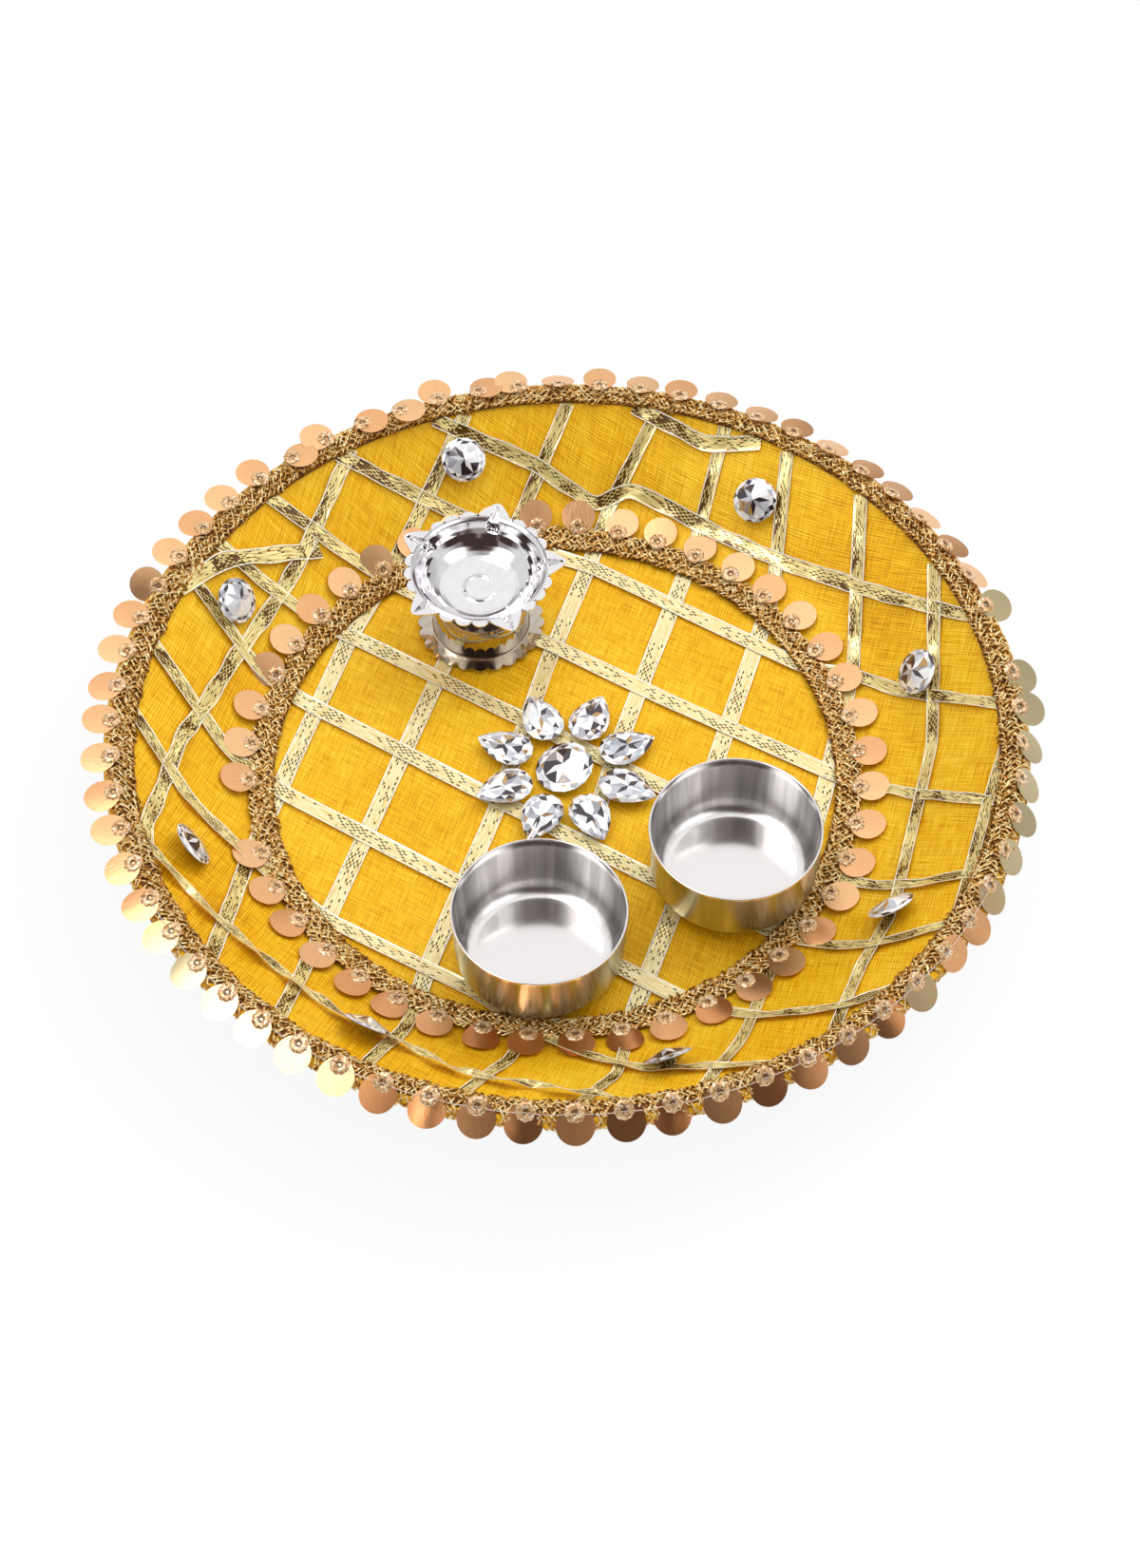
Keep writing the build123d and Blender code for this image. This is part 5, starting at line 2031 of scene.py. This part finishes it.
    def foot(self) -> Array:
        """The foot: a dome that runs down to a flange of scallops, each pressed into a low flute.

        Returns:
            Points of shape (rows, columns, 3), the flange's underside at zero.
        """
        turn = np.linspace(0, FULL_TURN, self.columns)
        corners = [
            (0.0, self.foot_height, 0.0),
            (self.foot_radius - self.foot_slope, self.foot_height, self.foot_bend),
            (self.foot_radius, self.sheet, self.foot_roll),
            (self.foot_radius + self.flange_start, self.sheet, 0.0),
        ]
        dome = refined(rounded(corners, self.foot_arc_points), self.foot_step)
        near = self.nearest(turn, self.flange_scallops)
        centre = self.flange_radius - self.flange_scallop_radius
        reach = np.maximum(centre, self.circle_reach(near, centre, self.flange_scallop_radius))
        share = np.linspace(0, 1, self.flange_rows + 1)[1:, None]
        flutes = self.sheet + self.flute * share * (0.5 + 0.5 * np.cos(self.flange_scallops * turn))
        radius, level = self.flanged(dome, reach, share, flutes)
        return ringed(radius, turn, level)

    def build(self) -> None:
        """Makes the dish and the foot."""
        bright = PolishedSteel("polished_dish", self.dish_shades).make()
        # Painted shade and reflection: the foot is darker and browner than the dish.
        warm = PolishedSteel("polished_foot", self.foot_painted_shades).make()
        origin = self.origin()
        Surface().grid(origin + self.foot_height * UPRIGHT + self.dish()).piece(
            "star_rimmed_dish", Body.DIYA, Slot.DIYA, [bright], ("diya_dish",), thickness=self.sheet
        )
        Surface().grid(origin + self.foot()).piece(
            "scalloped_foot", Body.DIYA, Slot.DIYA, [warm], ("diya_foot",), thickness=self.sheet
        )


@dataclass(frozen=True)
class Panel:
    """A flat panel of the studio that faces the plate: where it stands, its size and its brightness."""

    name: str
    place: Triple
    size: Pair
    brightness: float

    def facing(self) -> Array:
        """The panel's axes as columns: across, up, and away from the plate."""
        away = unit(np.array(self.place))
        overhead = abs(away[2]) > 0.9
        hint = np.array([0.0, 1.0, 0.0]) if overhead else UPRIGHT
        across = unit(np.cross(hint, away))
        return np.stack([across, np.cross(away, across), away], axis=1)


@dataclass(frozen=True)
class Glow:
    """A zone of the drapes: its direction, the cosines where it starts and is full, and what it adds."""

    direction: Triple
    start: float
    full: float
    brightness: float


@dataclass
class Studio:
    """The pale floor, white surroundings, soft lamps, drapes and the camera."""

    floor_size: float = 6.0
    floor_shade: float = 0.9
    floor_glow: float = 0.78
    floor_lift: float = 0.1
    floor_roughness: float = 0.9
    floor_gloss: float = 0.1
    room_light: float = 0.76
    lamps: tuple[Panel, ...] = (
        Panel("top_softbox", (0.0, 0.75, 1.15), (1.3, 0.9), 0.8),
        Panel("left_softbox", (-0.49, 0.09, 1.26), (0.3, 0.3), 3.2),
        Panel("right_softbox", (0.75, 0.7, 0.9), (1.0, 1.0), 2.7),
    )
    drape_radius: float = 2.4
    drape_rows: int = 13
    drape_columns: int = 49
    drape_shade: float = 0.8
    darkest_shade: float = 0.07
    dark_tint: str = "E6C2BC"
    tint_levels: Pair = (0.1, 0.5)
    glows: tuple[Glow, ...] = (
        Glow((0.0, 0.5, 0.87), 0.75, 0.88, 0.2),
        Glow((-0.36, 0.04, 0.93), 0.955, 0.985, 6.0),
        Glow((0.55, -0.22, 0.807), 0.93, 0.985, 0.9),
        Glow((-0.55, -0.22, 0.807), 0.93, 0.985, 0.8),
        Glow((-0.08, -0.6, 0.8), 0.87, 0.965, -0.62),
        Glow((0.0, -0.88, 0.47), 0.8, 0.95, -0.45),
        Glow((0.5, -0.74, 0.45), 0.85, 0.96, -0.5),
        Glow((-0.5, -0.74, 0.45), 0.85, 0.96, -0.45),
        Glow((0.85, 0.5, 0.1), 0.8, 0.95, -0.2),
        Glow((-0.8, -0.55, 0.25), 0.92, 0.98, -0.55),
        Glow((0.75, -0.6, 0.25), 0.92, 0.98, -0.55),
        Glow((0.45, 0.85, 0.2), 0.94, 0.985, -0.45),
        Glow((-0.5, 0.84, 0.2), 0.95, 0.985, -0.4),
    )
    camera_distance: float = 0.85
    camera_target: float = 1.3 * MM
    nearest_seen: float = 0.01
    photo_size: tuple[int, int] = (1200, 1650)
    photo_focal: float = 2927.5
    photo_centre: Pair = (595.9, 813.2)
    sensor: float = 36.0

    def seen(self, nodes: Nodes) -> Socket:
        """One where a ray comes from the camera, a gloss or a clear piece, and zero elsewhere."""
        path = nodes.node("LightPath")
        gloss = nodes.math("MAXIMUM", path.outputs["Is Glossy Ray"], path.outputs["Is Transmission Ray"])
        return nodes.math("MAXIMUM", path.outputs["Is Camera Ray"], gloss)

    def floor(self) -> None:
        """Makes the pale floor: it glows a little to what sees it, and keeps the shadow."""
        values = {"Roughness": self.floor_roughness, "Specular_IOR_Level": self.floor_gloss}
        shader = Shader("pale_floor", Emission_Color=WHITE, **values)
        seen = self.seen(shader)
        level = shader.scaled(seen, -self.floor_glow, self.floor_shade)
        shader.drive("Base Color", shader.node("CombineColor", {0: level, 1: level, 2: level}).outputs[0])
        shader.drive("Emission Strength", shader.math("MULTIPLY", seen, self.floor_glow + self.floor_lift))
        ends = np.array([-0.5, 0.5]) * self.floor_size / MM
        across, along = np.meshgrid(ends, ends, indexing="ij")
        surface = Surface().grid(np.stack([across, along, 0 * along], axis=-1))
        surface.object("floor", [shader.material], None)

    def drapes(self) -> None:
        """Makes the drapes: a dome seen only in reflections, pale with brighter and darker zones."""
        shader = Shader("studio_drapes", Base_Color=(0, 0, 0, 1), Specular_IOR_Level=0.0)
        level: Socket | float = self.drape_shade
        for glow in self.glows:
            direction = (unit(np.array(glow.direction)) / self.drape_radius).tolist()
            feeds = {0: shader.place(), 1: direction}
            cosine = shader.node("VectorMath", feeds, operation="DOT_PRODUCT").outputs["Value"]
            level = shader.scaled(shader.spread(cosine, glow.start, glow.full), glow.brightness, level)
        level = shader.math("MAXIMUM", level, self.darkest_shade)
        tint = shader.mix(shader.spread(level, *self.tint_levels), self.dark_tint, WHITE)
        shader.drive("Emission Color", tint)
        shader.drive("Emission Strength", level)
        shader.material.cycles.emission_sampling = "NONE"
        rise = np.linspace(0, math.pi / 2, self.drape_rows)
        dome = lathe(np.stack([np.cos(rise), np.sin(rise)], axis=-1), self.drape_columns)
        surface = Surface().grid(dome * self.drape_radius / MM)
        made = surface.object("studio_drapes", [shader.material], math.pi)
        made.visible_camera = False
        made.visible_diffuse = False
        made.visible_shadow = False

    def surroundings(self) -> None:
        """Makes the world: white to what sees it, and a plain level of light elsewhere."""
        world = bpy.data.worlds.new("white_room")
        world.use_nodes = True
        bpy.context.scene.world = world
        nodes = Nodes(world.node_tree)
        back = nodes.tree.nodes["Background"]
        nodes.feed(back.inputs["Color"], WHITE)
        strength = nodes.scaled(self.seen(nodes), 1 - self.room_light, self.room_light)
        nodes.feed(back.inputs["Strength"], strength)

    def light(self) -> None:
        """Makes the soft lamps, kept out of mirrors; a lamp's power is brightness times area times pi."""
        for panel in self.lamps:
            lamp = bpy.data.lights.new(panel.name, "AREA")
            lamp.shape = "RECTANGLE"
            lamp.size, lamp.size_y = panel.size
            lamp.energy = panel.brightness * panel.size[0] * panel.size[1] * math.pi
            made = bpy.data.objects.new(panel.name, lamp)
            made.visible_glossy = False
            made.visible_transmission = False
            bpy.context.scene.collection.objects.link(made)
            matrix = np.eye(4)
            matrix[:3, :3] = panel.facing()
            matrix[:3, 3] = panel.place
            made.matrix_world = Matrix(matrix.tolist())

    def camera(self) -> None:
        """Makes the camera at the photograph's place, lens and framing."""
        lens = bpy.data.cameras.new("photo_camera")
        longest = max(self.photo_size)
        lens.sensor_width = self.sensor
        lens.lens = self.photo_focal / longest * self.sensor
        lens.shift_x = (self.photo_size[0] / 2 - self.photo_centre[0]) / longest
        lens.shift_y = (self.photo_centre[1] - self.photo_size[1] / 2) / longest
        lens.clip_start = self.nearest_seen
        made = bpy.data.objects.new("photo_camera", lens)
        bpy.context.scene.collection.objects.link(made)
        back = self.camera_distance * math.cos(CAMERA_ELEVATION)
        rise = self.camera_distance * math.sin(CAMERA_ELEVATION)
        made.location = (0.0, -back, self.camera_target + rise)
        made.rotation_euler = (math.pi / 2 - CAMERA_ELEVATION, 0.0, 0.0)
        bpy.context.scene.camera = made

    def build(self) -> None:
        """Sets up the whole studio."""
        bpy.context.scene.view_settings.view_transform = "Standard"
        self.floor()
        self.surroundings()
        self.drapes()
        self.light()
        self.camera()


def dress_plate() -> None:
    """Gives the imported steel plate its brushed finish."""
    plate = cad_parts["steel_plate"]
    plate.data.materials.clear()
    plate.data.materials.append(PlateSteel().make())
    log.info("steel_plate: dressed")


def main() -> None:
    """Builds the studio and every piece of the thali."""
    logging.basicConfig(level=logging.INFO, format="%(name)s %(message)s")
    Studio().build()
    dress_plate()
    ClothCover().build()
    RibbonLattice().build()
    inner = Braid("inner_braid", INNER_EDGE, stitches=140)
    outer = Braid(
        "outer_braid", OUTER_EDGE, stitches=196, first_share=0.22, back_share=0.26, curl_share=0.14,
        front_share=0.4, curl_start=0.73,
    )
    inner.build()
    outer.build()
    film, glitter = SequinFilm().make(), GlitterRing().make()
    SequinRing(
        "outer", outer, places=64, first_angle=91.0, empty=14, outer=True, droop_clearance=0.4,
        yaws=OUTER_YAWS, tones=OUTER_PAINTED_REFLECTIONS, facings=OUTER_FACINGS, calm=OUTER_CALM,
    ).build(film, glitter)
    SequinRing(
        "inner", inner, places=44, first_angle=93.7, empty=32, outer=False, facings=INNER_FACINGS
    ).build(film, glitter)
    Crystals().build()
    SteelBowl(Body.LEFT_BOWL, 263.4).build()
    SteelBowl(Body.RIGHT_BOWL, -37.0).build()
    StarDiya().build()


if __name__ == "__main__":
    main()
